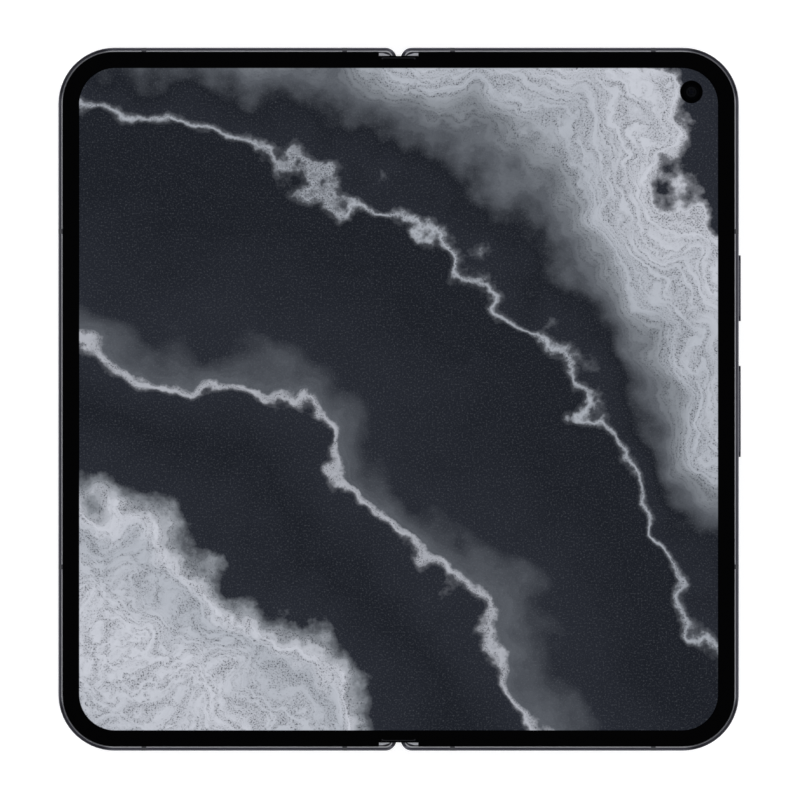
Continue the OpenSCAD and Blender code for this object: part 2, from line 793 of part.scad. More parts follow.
module back_glass() {
    color([0.16, 0.17, 0.19]) lifted() difference() {
        back_pane();
        island_place() slab(-1, half_t) island_neck(fit);
    }
}

// Island: dished metal cover that stands on the glass and reaches through it
module camera_island() {
    color([0.36, 0.36, 0.38]) lifted() island_place() difference() {
        union() {
            translate([0, 0, -island_h]) pillow_plate(-island_w / 2, island_w / 2, island_l / 2,
                island_r, island_r, island_h, island_edge_r);
            slab(-nothing, glass_t + nothing) island_neck(0);
            slab(glass_t, ledge_t) soft_rect(island_w, island_l, island_r);
        }
        slab(island_wall - island_h, half_t) island_neck(-island_wall);
        translate([0, 0, -island_h - 1]) {
            for (i = [0 : 2]) translate(lens_at[i]) cylinder(r = lens_r[i], h = half_t);
            translate(flash_at) cylinder(r = flash_r, h = half_t);
            translate([0, flash_at[1]]) cylinder(r = sound_r, h = half_t);
        }
    }
}

// Metal rings round the lenses, standing on the island
module lens_rings() {
    color([0.25, 0.25, 0.27]) lifted() island_place() for (i = [0 : 2])
        translate(lens_at[i]) rotate_extrude() {
            translate([lens_r[i] - ring_w / 2, -island_h - ring_h]) square([ring_w * 0.8, ring_h]);
            translate([lens_r[i] - ring_w / 2, -island_h - ring_h / 2]) square([ring_w, ring_h / 2]);
            translate([lens_r[i] - ring_w / 2, -island_h]) square([ring_w / 2, island_wall]);
        }
}

module lens_glasses() {
    color([0.08, 0.09, 0.12]) lifted() island_place() for (i = [0 : 2]) translate(lens_at[i])
        slab(-island_h, island_wall / 2) circle(lens_r[i] - ring_w / 2);
}

module flash_window() {
    color([0.95, 0.93, 0.85]) lifted() island_place() translate(flash_at)
        slab(-island_h, island_wall) circle(flash_r);
}

// Camera modules between the lens rings and the screen plate
module rear_cameras() {
    barrel_z = island_wall - island_h;
    barrel_l = 1;
    body_z = barrel_z + barrel_l - nothing;
    color([0.12, 0.12, 0.13]) lifted() island_place() for (i = [0 : 2]) translate(lens_at[i]) {
        slab(barrel_z, barrel_l) circle(lens_r[i] - ring_w / 2);
        slab(body_z, plate_z - body_z) square(2 * well, center = true);
    }
}

module inner_camera() {
    color([0.04, 0.04, 0.05]) lifted() translate(inner_cam) {
        slab(board_z - 0.4, plate_z - board_z + 0.4 + plate_t) circle(punch_r + 1);
        rotate_extrude() {
            translate([0, screen_z - nothing]) square([punch_r - fit, screen_t - 0.1 + nothing]);
            translate([punch_r - fit - 0.3, screen_z]) square([0.3, screen_t - 0.02]);
        }
    }
}

// Dome switches behind the side keys, on a strip along the wall
module key_switches() {
    x1 = half_w - wall_t - ledge_w + 0.05;
    y0 = volume_y - volume_l / 2 - 3;
    y1 = power_y + power_l / 2 + 3;
    strip_z = key_z - 0.7;
    color([0.75, 0.7, 0.55]) lifted() {
        translate([x1 - 0.5, y0, strip_z]) cube([0.5, y1 - y0, ledge_z - strip_z]);
        for (y = [y0, y1 - 3])
            translate([x1 - 0.5, y, glass_t + ledge_t]) cube([0.5, 3, ledge_z - glass_t - ledge_t]);
        for (y = [power_y, volume_y - volume_l / 2 + 3, volume_y + volume_l / 2 - 3])
            translate([x1 - nothing, y, key_z]) rotate([0, 90, 0]) cylinder(r = 0.65, h = 0.15);
    }
}

// Bar magnets along the side wall
module half_magnets() {
    magnet_w = 1.55;
    magnet_l = 10;
    x0 = half_w - wall_t - fit - magnet_w;
    for (s = [-1, 1]) translate([x0, s * (half_h - magnet_end) - magnet_l / 2, glass_t + ledge_t])
        cube([magnet_w, magnet_l, ledge_z - glass_t - ledge_t]);
}
module right_magnets() color([0.6, 0.6, 0.63]) lifted() half_magnets();

module right_hinge_arms() color([0.55, 0.56, 0.58]) lifted() half_hinge_arms(180 / gear_teeth);

// ================================================================ left half

module left_frame() {
    color([0.38, 0.38, 0.4]) lifted() flipped() difference() {
        half_frame();
        tray_way(key_gap);
        sound_holes(tray_x - tray_w / 2 - sound_out, 1);
        translate([0, body_h, 0]) sound_holes(tray_x - 1.5 * sound_step, 4);
    }
}

module left_antenna_lines() color([0.3, 0.3, 0.32]) lifted() flipped() half_antenna_lines();
module left_plate() color([0.62, 0.63, 0.65]) lifted() flipped() half_plate();
module left_bezel() color([0.03, 0.03, 0.03]) lifted() flipped() half_bezel();
module left_screen() color([0.15, 0.17, 0.2]) lifted() flipped() half_screen();
module left_plate_screws() color([0.75, 0.75, 0.76]) lifted() flipped() half_plate_screws();

module left_battery() {
    color([0.2, 0.2, 0.22]) lifted() flipped()
        pouch_cell(battery_l_bottom - half_h, half_h - battery_l_top);
}

module left_board() {
    color([0.1, 0.3, 0.2]) lifted() flipped() {
        slab(board_z, board_t) translate([board_x0, -half_h + wall_t + ledge_w + 0.4])
            square([battery_w, left_board_l]);
    }
}

module earpiece() {
    earpiece_w = 15;
    earpiece_l = 8;
    x = tray_x + cover_camera_r + 1.5 * part_gap + earpiece_w / 2;
    y = half_h - wall_t - ledge_w - part_gap - earpiece_l / 2;
    color([0.12, 0.12, 0.13]) lifted() flipped() slab(plate_z - battery_t, battery_t)
        translate([x, y]) soft_rect(earpiece_w, earpiece_l, 1.2);
}

module cover_glass() {
    voice_slot_l = 9;
    color([0.05, 0.05, 0.06]) lifted() flipped() difference() {
        back_pane();
        translate([tray_x, half_h - back_rim_w - 1]) slab(-1, half_t) soft_rect(voice_slot_l, 0.5, 0.2);
    }
}

module cover_screen() {
    step = wall_t + ledge_w + 0.2;
    color([0.07, 0.08, 0.1]) lifted() flipped() slab(glass_t, 0.35) difference() {
        inset_outline(fold_edge + back_strip_w + 4, step);
        translate([tray_x, cover_camera_y]) circle(cover_camera_r + fit);
    }
}

module cover_camera() {
    color([0.04, 0.04, 0.05]) lifted() flipped() slab(glass_t, 0.95)
        translate([tray_x, cover_camera_y]) circle(cover_camera_r);
}

// Slot for the card tray, grown by a gap
module tray_way(gap) {
    bottom_slot(tray_x, tray_z, tray_face_l + 2 * gap, tray_face_t + 2 * gap, wall_t + ledge_w + 1);
}

// Sheet cage that guides the card tray
module card_reader() {
    cage = tray_t + 4 * key_gap;
    sheet = 0.2;
    y0 = wall_t + tray_lip - half_h + 0.3;
    color([0.7, 0.71, 0.72]) lifted() flipped() difference() {
        translate([tray_x - tray_w / 2 - 0.5, y0, tray_z - cage / 2 - sheet])
            cube([tray_w + 1, tray_l, board_z - tray_z + cage / 2 + sheet]);
        translate([tray_x - tray_w / 2 - 2 * key_gap, y0 - 1, tray_z - cage / 2])
            cube([tray_w + 4 * key_gap, tray_l + 0.4, cage]);
    }
}

module left_magnets() color([0.6, 0.6, 0.63]) lifted() flipped() half_magnets();
module left_hinge_arms() color([0.55, 0.56, 0.58]) lifted() flipped() half_hinge_arms(180);

// ================================================================ spine

module spine_cover() {
    color([0.33, 0.33, 0.35]) lifted() along_y(-spine_y, spine_y) difference() {
        trough_section(spine_r);
        trough_section(trough_r);
    }
}

module spine_end_caps() {
    color([0.3, 0.3, 0.32]) lifted() for (s = [0, 1]) mirror([0, s, 0]) {
        along_y(spine_y - cheek_t, spine_y) trough_section(trough_r);
        along_y(spine_y - cheek_t, spine_y) translate([-mid_plate_half, axis_z - nothing])
            square([2 * mid_plate_half, screen_z - wing_t - axis_z + nothing]);
    }
}

// Bracket of one hinge module: two cheeks joined by a floor, with a post for the middle plate
module hinge_brackets() {
    post = 0.55;
    boss_r = knuckle_r - 0.1;
    floor_top = axis_z - knuckle_r - 0.15;
    color([0.5, 0.5, 0.52]) lifted() each_module() difference() {
        union() {
            for (y = [0, cheek_y1]) along_y(y, y + cheek_t) {
                trough_section(trough_r);
                for (s = [-1, 1]) translate([s * axis_x, axis_z]) circle(boss_r);
                translate([-axis_x, axis_z - nothing]) square([2 * axis_x, boss_r]);
                translate([-post, axis_z]) square([2 * post, screen_z - wing_t - axis_z]);
            }
            along_y(0, module_l) intersection() {
                trough_section(trough_r);
                translate([-bay_x, 0]) square([2 * bay_x, floor_top]);
            }
        }
        for (s = [-1, 1]) rod(s * axis_x, axis_z, -1, module_l + 1, pin_r);
        for (s = [-1, 1]) rod(s * gear_r, axis_z, -1, gear_y0, pin_r - 0.1);
    }
}

module hinge_pins() {
    color([0.8, 0.8, 0.82]) lifted() each_module() for (s = [-1, 1]) {
        rod(s * axis_x, axis_z, 0, module_l, pin_r);
        rod(s * gear_r, axis_z, 0, gear_y0 + gear_l - slack, pin_r - 0.1);
    }
}

module friction_discs() {
    color([0.7, 0.66, 0.55]) lifted() each_module() for (s = [-1, 1], i = [0 : disc_count - 1]) {
        y = disc_y0 + i * disc_pitch;
        difference() {
            rod(s * axis_x, axis_z, y, y + disc_t, knuckle_r - (i % 2) * 0.12);
            rod(s * axis_x, axis_z, y - 1, y + disc_t + 1, pin_r);
        }
    }
}

module middle_plate() {
    color([0.62, 0.63, 0.65]) lifted() translate([-mid_plate_half, -spine_y, screen_z - wing_t])
        cube([2 * mid_plate_half, 2 * spine_y, wing_t]);
}

module fold_screen() {
    screen_y = half_h - rim_w - fit - bezel_foot - 0.15;
    color([0.15, 0.17, 0.2]) lifted() translate([-fold_zone, -screen_y, screen_z])
        cube([2 * fold_zone, 2 * screen_y, screen_t]);
}

// Soft strips that cover the screen's edge where it bends
module fold_strips() {
    strip_w = 2 * (bezel_start - fit);
    strip_y1 = bay_y - fit;
    screen_y = half_h - rim_w - fit - bezel_foot - 0.15;
    window_y = half_h - rim_w - border_end;
    color([0.03, 0.03, 0.03]) lifted() for (s = [0, 1]) mirror([0, s, 0]) {
        translate([-strip_w / 2, window_y, screen_top])
            cube([strip_w, strip_y1 - window_y, bezel_z - screen_top]);
        translate([-strip_w / 2, screen_y + fit, screen_z])
            cube([strip_w, strip_y1 - screen_y - fit, screen_t + nothing]);
    }
}

// Flat cables that cross the hinge between the modules
module hinge_ribbons() {
    ribbon_t = 0.12;
    ribbon_w = 14.4;
    ribbon_l = 10;
    color([0.7, 0.45, 0.2]) lifted() for (s = [-1, 1])
        translate([-ribbon_w / 2, (s * module_y[2] - ribbon_l) / 2, axis_z + 0.2])
            cube([ribbon_w, ribbon_l, ribbon_t]);
}

module right_gears() color([0.75, 0.7, 0.5]) lifted() idlers(1, 0);
module left_gears() color([0.75, 0.7, 0.5]) lifted() idlers(-1, 180 / gear_teeth);
module right_wing() color([0.66, 0.67, 0.69]) lifted() half_wing();
module left_wing() color([0.66, 0.67, 0.69]) lifted() flipped() half_wing();

// ================================================================ keys and tray

// Side key with end tabs that hold it behind the wall
module side_key(y, l, back) {
    x_in = half_w - wall_t - back;
    tab_t = 0.7 * key_t;
    key_bar(y, l, key_t, x_in, half_w + key_out);
    translate([x_in - 0.4, y - l / 2 - 1, key_z - tab_t / 2]) cube([0.4, l + 2, tab_t]);
}

module power_key() color([0.4, 0.41, 0.43]) lifted() side_key(power_y, power_l, fit);
module volume_key() color([0.4, 0.41, 0.43]) lifted() side_key(volume_y, volume_l, 0.35);

module card_tray() {
    face_y = -half_h;
    color([0.38, 0.38, 0.4]) lifted() flipped() difference() {
        union() {
            translate([tray_x, face_y + wall_t, tray_z]) rotate([90, 0, 0]) linear_extrude(wall_t)
                stadium(tray_face_l, tray_face_t);
            translate([tray_x - tray_w / 2, face_y + wall_t - nothing, tray_z - tray_t / 2])
                cube([tray_w, tray_l, tray_t]);
        }
        translate([tray_x - tray_w / 2 + tray_border, face_y + wall_t + 4, tray_z - tray_t / 2 + 0.25])
            cube([tray_w - 2 * tray_border, card_l, tray_t]);
        translate([tray_x + tray_face_l / 2 - 1.6, face_y - 1, tray_z]) rotate([-90, 0, 0])
            cylinder(r = 0.45, h = wall_t + 0.5);
    }
}

right_frame();
right_antenna_lines();
right_plate();
right_bezel();
right_screen();
right_plate_screws();
right_battery();
main_board();
shield_cans();
charge_board();
usb_shell();
usb_tongue();
loudspeaker();
vibration_motor();
charging_coil();
back_glass();
camera_island();
lens_rings();
lens_glasses();
flash_window();
rear_cameras();
inner_camera();
key_switches();
right_magnets();
right_hinge_arms();
left_frame();
left_antenna_lines();
left_plate();
left_bezel();
left_screen();
left_plate_screws();
left_battery();
left_board();
earpiece();
cover_glass();
cover_screen();
cover_camera();
card_reader();
left_magnets();
left_hinge_arms();
spine_cover();
spine_end_caps();
hinge_brackets();
hinge_pins();
friction_discs();
middle_plate();
fold_screen();
fold_strips();
hinge_ribbons();
right_gears();
left_gears();
right_wing();
left_wing();
power_key();
volume_key();
card_tray();
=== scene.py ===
"""A foldable phone, lying open on a white table with its inner screen lit."""

import math

import bmesh
import bpy
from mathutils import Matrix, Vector


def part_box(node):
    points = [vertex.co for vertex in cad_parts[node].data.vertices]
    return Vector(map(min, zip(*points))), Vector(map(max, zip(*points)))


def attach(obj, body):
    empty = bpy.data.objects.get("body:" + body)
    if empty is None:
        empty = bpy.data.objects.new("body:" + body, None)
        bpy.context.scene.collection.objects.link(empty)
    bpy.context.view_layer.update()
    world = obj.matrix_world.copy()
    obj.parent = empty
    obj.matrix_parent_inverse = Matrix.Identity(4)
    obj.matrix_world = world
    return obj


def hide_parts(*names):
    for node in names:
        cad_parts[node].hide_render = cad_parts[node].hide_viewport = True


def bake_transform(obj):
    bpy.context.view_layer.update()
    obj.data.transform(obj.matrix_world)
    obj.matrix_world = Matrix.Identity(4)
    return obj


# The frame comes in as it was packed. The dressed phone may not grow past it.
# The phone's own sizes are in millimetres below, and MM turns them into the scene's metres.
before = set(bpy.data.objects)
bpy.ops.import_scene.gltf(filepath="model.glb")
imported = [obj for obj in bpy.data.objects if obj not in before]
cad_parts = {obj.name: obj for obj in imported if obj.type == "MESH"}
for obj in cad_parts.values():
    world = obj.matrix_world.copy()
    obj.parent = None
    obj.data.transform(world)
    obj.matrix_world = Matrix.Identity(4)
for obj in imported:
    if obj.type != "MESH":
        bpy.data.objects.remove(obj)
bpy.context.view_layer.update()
MM = 0.001

# ---------------------------------------------------------------- camera and table
# The phone is seen from straight above through a long lens, so that its side walls hardly show. The
# table under it is white, and the light comes evenly from all round.
FIELD = 176.5 * MM
CAMERA_AWAY = 1750 * MM
AIM = (0.31 * MM, -0.18 * MM)
SIGHT_END = 50
rim_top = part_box("right_frame")[1].z
look_at = Vector((*AIM, rim_top))

camera = bpy.data.objects.new("camera", bpy.data.cameras.new("camera"))
bpy.context.scene.collection.objects.link(camera)
bpy.context.scene.camera = camera
camera.data.lens = camera.data.sensor_width * CAMERA_AWAY / FIELD
camera.data.clip_end = SIGHT_END
camera.location = look_at + Vector((0, 0, CAMERA_AWAY))
bpy.context.scene.view_settings.view_transform = "Standard"


class Wire:
    """A value on its way through a finish. Python's operators on it add the Math nodes."""

    def __init__(self, finish, socket):
        self.finish, self.socket = finish, socket

    def math(self, operation, *terms):
        return self.finish.add("ShaderNodeMath", {"operation": operation}, dict(enumerate(terms)))

    def __add__(self, other):
        return self.math("ADD", self, other)

    def __sub__(self, other):
        return self.math("SUBTRACT", self, other)

    def __mul__(self, other):
        return self.math("MULTIPLY", self, other)

    def __truediv__(self, other):
        return self.math("DIVIDE", self, other)

    def __rsub__(self, other):
        return self.math("SUBTRACT", other, self)

    def __gt__(self, other):
        return self.math("GREATER_THAN", self, other)

    def __lt__(self, other):
        return self.math("LESS_THAN", self, other)

    def __pow__(self, other):
        return self.math("POWER", self, other)

    def __abs__(self):
        return self.math("ABSOLUTE", self)

    def __mod__(self, other):
        return self.math("FLOORED_MODULO", self, other)

    __radd__, __rmul__ = __add__, __mul__

    def at_least(self, other):
        return self.math("MAXIMUM", self, other)

    def at_most(self, other):
        return self.math("MINIMUM", self, other)

    def rise(self, low, high):
        """0 below low, 1 above high, smooth between; it falls where low is the larger."""
        return self.finish.add(
            "ShaderNodeMapRange",
            {"interpolation_type": "SMOOTHSTEP"},
            {"Value": self, "From Min": low, "From Max": high},
        )


class Finish:
    """Something that nodes give its look: a material, or the world."""

    def __init__(self, owner):
        self.owner = owner
        owner.use_nodes = True
        self.tree = owner.node_tree
        self.tree.nodes.clear()

    def add(self, kind, settings=None, sockets=None, out=0):
        """Adds a node: its settings first, then the value or the wire of each of its sockets."""
        node = self.tree.nodes.new(kind)
        for name, value in (settings or {}).items():
            if name == "stops":
                ramp = node.color_ramp
                while len(ramp.elements) < len(value):
                    ramp.elements.new(1)
                for stop, (place, colour) in zip(ramp.elements, value):
                    stop.position, stop.color = place, colour
            else:
                setattr(node, name, value)
        for name, value in (sockets or {}).items():
            if isinstance(value, Wire):
                self.tree.links.new(value.socket, node.inputs[name])
            else:
                node.inputs[name].default_value = value
        return Wire(self, node.outputs[out]) if node.outputs else None

    def vector(self, operation, first, second=(0, 0, 0), out=0, **more):
        """Vector maths, whose wire is a vector, or a number where out is "Value"."""
        return self.add("ShaderNodeVectorMath", {"operation": operation}, {0: first, 1: second, **more}, out)

    def place(self):
        """Where the point lies, in millimetres along the phone's own axes."""
        where = self.add("ShaderNodeTexCoord", out="Object")
        return self.vector("SCALE", where, Scale=1 / MM)

    def split(self, vector):
        return [self.add("ShaderNodeSeparateXYZ", None, {0: vector}, out=i) for i in range(3)]

    def join(self, x=0, y=0, z=0):
        return self.add("ShaderNodeCombineXYZ", None, {0: x, 1: y, 2: z})

    def noise(self, vector, scale, detail=2, roughness=0.5):
        """Soft noise from 0 to 1. Its scale says how finely it varies for each unit of the vector."""
        return self.add(
            "ShaderNodeTexNoise",
            {"normalize": True},
            {"Vector": vector, "Scale": scale, "Detail": detail, "Roughness": roughness},
        )

    def mix(self, factor, first, second):
        """The first colour where the factor is 0, the second where it is 1. Sockets 6 and 7 take colours."""
        return self.add("ShaderNodeMix", {"data_type": "RGBA"}, {0: factor, 6: first, 7: second}, out=2)

    def bump(self, height, depth_mm):
        """A normal that is raised by the depth where the height is 1."""
        return self.add("ShaderNodeBump", None, {"Height": height, "Distance": depth_mm * MM, "Strength": 1})

    def surface(self, **sockets):
        """The finish's shader. Names are those of its sockets, with _ for a space."""
        named = {name.replace("_", " "): value for name, value in sockets.items()}
        shader = self.add("ShaderNodeBsdfPrincipled", None, named)
        self.add("ShaderNodeOutputMaterial", None, {"Surface": shader})
        return self.owner


def shade(red, green, blue):
    """A colour as a screen shows it, 0 to 255, turned into light."""
    lit = [v / 255 / 12.92 if v < 10.3 else ((v / 255 + 0.055) / 1.055) ** 2.4 for v in (red, green, blue)]
    return (*lit, 1)


def new_finish(name):
    return Finish(bpy.data.materials.new(name))


# The table is a white sheet. It shows as pure white, and still takes the phone's own soft shadow.
TABLE_HALF = 6
TABLE_WHITE = (0.8, 0.8, 0.8, 1)
TABLE_GLOW = 0.57
table_mesh = bpy.data.meshes.new("table")
table_corners = [(x * TABLE_HALF, y * TABLE_HALF, 0) for x, y in ((-1, -1), (1, -1), (1, 1), (-1, 1))]
table_mesh.from_pydata(table_corners, [], [(0, 1, 2, 3)])
table = bpy.data.objects.new("table", table_mesh)
bpy.context.scene.collection.objects.link(table)

paper = new_finish("table_paper")
matt = paper.add("ShaderNodeBsdfDiffuse", None, {"Color": TABLE_WHITE})
glow = paper.add("ShaderNodeEmission", None, {"Color": (1, 1, 1, 1), "Strength": TABLE_GLOW})
lifted = paper.add("ShaderNodeAddShader", None, {0: matt, 1: glow})
looked_at = paper.add("ShaderNodeLightPath", out="Is Camera Ray")
mirrored = paper.add("ShaderNodeLightPath", out="Is Glossy Ray")
passed = paper.add("ShaderNodeLightPath", out="Is Transmission Ray")
shown = looked_at.at_least(mirrored).at_least(passed)
front = paper.add("ShaderNodeMixShader", None, {0: shown, 1: matt, 2: lifted})
below = paper.add("ShaderNodeNewGeometry", out="Backfacing")
clear = paper.add("ShaderNodeBsdfTransparent")
sheet = paper.add("ShaderNodeMixShader", None, {0: below, 1: front, 2: clear})
paper.add("ShaderNodeOutputMaterial", None, {"Surface": sheet})
table.data.materials.append(paper.owner)

# The room is white near the table and grey overhead, as under a dark studio ceiling.
ROOM_LOW = (0.95, 0.95, 0.96, 1)
ROOM_HIGH = (0.22, 0.22, 0.24, 1)
ROOM_TURNS = (0.03, 0.4)
room = Finish(bpy.data.worlds.new("room"))
bpy.context.scene.world = room.owner
looking = room.add("ShaderNodeTexCoord", out="Generated")
height = room.split(looking)[2]
wall = room.mix(height.rise(*ROOM_TURNS), ROOM_LOW, ROOM_HIGH)
seen = room.add("ShaderNodeLightPath", out="Is Camera Ray")
through = room.add("ShaderNodeLightPath", out="Is Transmission Ray")
backdrop = room.mix(seen.at_least(through), wall, (1, 1, 1, 1))
background = room.add("ShaderNodeBackground", None, {"Color": backdrop, "Strength": 1})
room.add("ShaderNodeOutputWorld", None, {"Surface": background})

# Four soft boxes stand round the table, towards its corners, and aim at the phone.
BOX_SIZE = 0.9
BOX_AWAY = 1.6
BOX_UP = math.radians(48)
BOX_POWER = 6.4
BOX_TURNS = (45, 135, 225, 315)
for number, turn in enumerate(BOX_TURNS):
    lamp = bpy.data.lights.new(f"soft_box_{number}", "AREA")
    lamp.shape, lamp.size, lamp.energy = "SQUARE", BOX_SIZE, BOX_POWER
    box = bpy.data.objects.new(lamp.name, lamp)
    bpy.context.scene.collection.objects.link(box)
    flat = math.cos(BOX_UP) * BOX_AWAY
    around = math.radians(turn)
    box.location = (flat * math.cos(around), flat * math.sin(around), math.sin(BOX_UP) * BOX_AWAY)
    box.rotation_euler = (-box.location).to_track_quat("-Z", "Y").to_euler()

# ---------------------------------------------------------------- frame of both halves
# Each half's frame is milled from one aluminium plate, bead-blasted and dyed graphite. The edge beside
# the screen is cut afterwards with a diamond tool, and stays bright, as does a wedge beside the fold. Round
# the outer corners the upper edge, dyed and cut alike, is painted darker: painted shade, as the corners
# there mirror less light.
RIM = 1.0
BEVEL = 0.24
BEVEL_FADE = 0.05
BEVEL_LAP = 0.03
CORNER = 12.4
FOLD_CORNER = 2.4
WEDGE_TIP = 1.3
WEDGE_Y = 75.7
WEDGE_SLOPE = 0.3
CORNER_SHADE_RUN = 3
CORNER_SHADE_FALL = 0.8


def in_mm(box):
    """The low and the high corner of a box, in millimetres."""
    return [corner / MM for corner in box]


def dress(finish, *nodes):
    """Gives CAD nodes a finish in the slot that they came with."""
    for node in nodes:
        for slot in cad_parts[node].material_slots:
            slot.material = finish


def depth_inside(finish, vector, wide, high, radius, centre=(0, 0)):
    """Distance inwards from the outline of a rounded rectangle, given by half its width and height."""
    x, y, _ = finish.split(vector)
    across = abs(x - centre[0]) - (wide - radius)
    along = abs(y - centre[1]) - (high - radius)
    corner = finish.vector("LENGTH", finish.join(across.at_least(0), along.at_least(0)), out="Value")
    return radius - corner - across.at_least(along).at_most(0)


frame_low, frame_high = in_mm(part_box("right_frame"))
half_w, half_h, top = frame_high
metal = new_finish("graphite_metal")
here = metal.place()
x, y, z = metal.split(here)
from_outside = depth_inside(metal, here, half_w, half_h, CORNER)
half_mid = (frame_low.x + half_w) / 2
one_half = metal.join(abs(x), y)
from_fold = depth_inside(metal, one_half, half_w - half_mid, half_h, FOLD_CORNER, (half_mid, 0))
depth = from_outside.at_most(from_fold)
at_top = z > top - BEVEL - BEVEL_LAP
cut = depth.rise(RIM - BEVEL - BEVEL_FADE, RIM - BEVEL) * (depth < RIM + BEVEL_LAP) * at_top
wedge = at_top * (depth > RIM) * ((abs(x) - WEDGE_TIP) * WEDGE_SLOPE > abs(y) - WEDGE_Y)
blast = metal.noise(here, scale=9, detail=4, roughness=0.65)
cloud = metal.noise(here, scale=0.11, detail=2)
# Painted shade: round the outer corners the upper edge's colour is darkened, on the dyed and on the cut
# metal.
in_corner = (abs(x) - half_w + CORNER).at_most(abs(y) - half_h + CORNER).rise(0, CORNER_SHADE_RUN)
corner_painted_shade = in_corner * z.rise(top - CORNER_SHADE_FALL, top - BEVEL)
dyed = metal.mix(corner_painted_shade, metal.mix(cloud, shade(76, 76, 83), shade(88, 88, 95)), shade(38, 38, 43))
cut_face = metal.mix(blast, shade(184, 185, 189), shade(202, 203, 206))
bright = metal.mix(corner_painted_shade, cut_face, shade(126, 127, 131))
brightest = metal.mix(blast, shade(226, 227, 231), shade(242, 243, 245))
graphite_metal = metal.surface(
    Base_Color=metal.mix(wedge, metal.mix(cut, dyed, bright), brightest),
    Metallic=1.0,
    Roughness=0.25 + blast * 0.08,
    Normal=metal.bump(blast * (1 - cut), depth_mm=0.004),
)
dress(graphite_metal, "right_frame", "left_frame", "camera_island", "card_tray")

# Short plastic bridges part the frame into aerials. They are moulded in, then machined flush.
line = new_finish("aerial_plastic")
mottle = line.noise(line.place(), scale=6, detail=3)
aerial_plastic = line.surface(
    Base_Color=line.mix(mottle, shade(44, 44, 49), shade(54, 54, 59)),
    Roughness=0.5 + mottle * 0.1,
    Normal=line.bump(mottle, depth_mm=0.004),
)
dress(aerial_plastic, "right_antenna_lines", "left_antenna_lines")

# The side keys are milled from the same dyed aluminium and lapped a little smoother than the wall. Their
# turned-down ends are painted darker: painted shade, as they turn away from the light. Hidden tabs hold
# each key behind the wall.
KEY_TAB = 1.0
KEY_END_SHADE_FADE = (1.3, 1.0)


def lapped_key(node):
    """Gives a key its own finish, because its ends are found from its own box."""
    low, high = in_mm(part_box(node))
    finish = new_finish(f"{node}_metal")
    here = finish.place()
    _, y, _ = finish.split(here)
    lap = finish.noise(here, scale=7, detail=3)
    # Painted shade: the colour darkens towards each turned-down end of the key.
    to_end = (high.y - low.y) / 2 - KEY_TAB - abs(y - (low.y + high.y) / 2)
    worn = finish.mix(lap, shade(120, 121, 129), shade(132, 133, 141))
    finish.surface(
        Base_Color=finish.mix(to_end.rise(*KEY_END_SHADE_FADE), worn, shade(62, 62, 69)),
        Metallic=1.0,
        Roughness=0.24 + lap * 0.08,
        Normal=finish.bump(lap, depth_mm=0.003),
    )
    dress(finish.owner, node)


lapped_key("power_key")
lapped_key("volume_key")

# ---------------------------------------------------------------- folding screen
# One flexible panel spans both halves under a clear film, with a punched hole for the inner camera. It
# lies free over the fold, where each side of it is cut into narrow columns, and the picture is lit from
# within.
SCREEN_CORNER = 10.5
COLUMN_STEP = 0.3
SCREEN_COLUMNS = [COLUMN_STEP * k for k in range(1, 27)]
BEND_END = 6.0
PUNCH = 1.75
CORNER_STEPS = 24
ROUND_STEPS = 64
screen_low, screen_high = in_mm(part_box("right_screen"))
lens_low, lens_high = in_mm(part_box("inner_camera"))
inner_lens = (lens_low + lens_high) / 2


def arc(cx, cy, radius, start, end, steps):
    """Points along an arc, in degrees, both ends included."""
    turns = [math.radians(start + (end - start) * k / steps) for k in range(steps + 1)]
    return [(cx + radius * math.cos(t), cy + radius * math.sin(t)) for t in turns]


def finished(name, mesh, finish, smooth=False):
    """A piece of the phone from a mesh in millimetres that is turned into metres here."""
    bmesh.ops.recalc_face_normals(mesh, faces=mesh.faces)
    bmesh.ops.scale(mesh, vec=(MM, MM, MM), verts=mesh.verts)
    data = bpy.data.meshes.new(name)
    mesh.to_mesh(data)
    mesh.free()
    data.materials.append(finish)
    if smooth:
        data.shade_smooth()
    piece = bpy.data.objects.new(name, data)
    bpy.context.scene.collection.objects.link(piece)
    return piece


def cut_sheet(loops, low, high, columns):
    """A flat sheet inside closed outlines, cut along the columns where it has to bend."""
    mesh = bmesh.new()
    for loop in loops:
        verts = [mesh.verts.new((px, py, low)) for px, py in loop]
        for a, b in zip(verts, verts[1:] + verts[:1]):
            mesh.edges.new((a, b))
    bmesh.ops.triangle_fill(mesh, edges=mesh.edges[:], use_beauty=True)
    for column in columns:
        everything = mesh.verts[:] + mesh.edges[:] + mesh.faces[:]
        bmesh.ops.bisect_plane(mesh, geom=everything, plane_co=(column, 0, 0), plane_no=(1, 0, 0))
    raised = bmesh.ops.extrude_face_region(mesh, geom=mesh.faces[:])["geom"]
    moved = [v for v in raised if isinstance(v, bmesh.types.BMVert)]
    bmesh.ops.translate(mesh, vec=(0, 0, high - low), verts=moved)
    return mesh


def map_picture(piece):
    """Lays the picture's map on a sheet: 0 to 1 across the whole panel."""
    layer = piece.data.uv_layers.new(name="picture")
    for loop in piece.data.loops:
        at = piece.data.vertices[loop.vertex_index].co / MM
        layer.data[loop.index].uv = (0.5 + at.x / 2 / screen_high.x, 0.5 + at.y / 2 / screen_high.y)


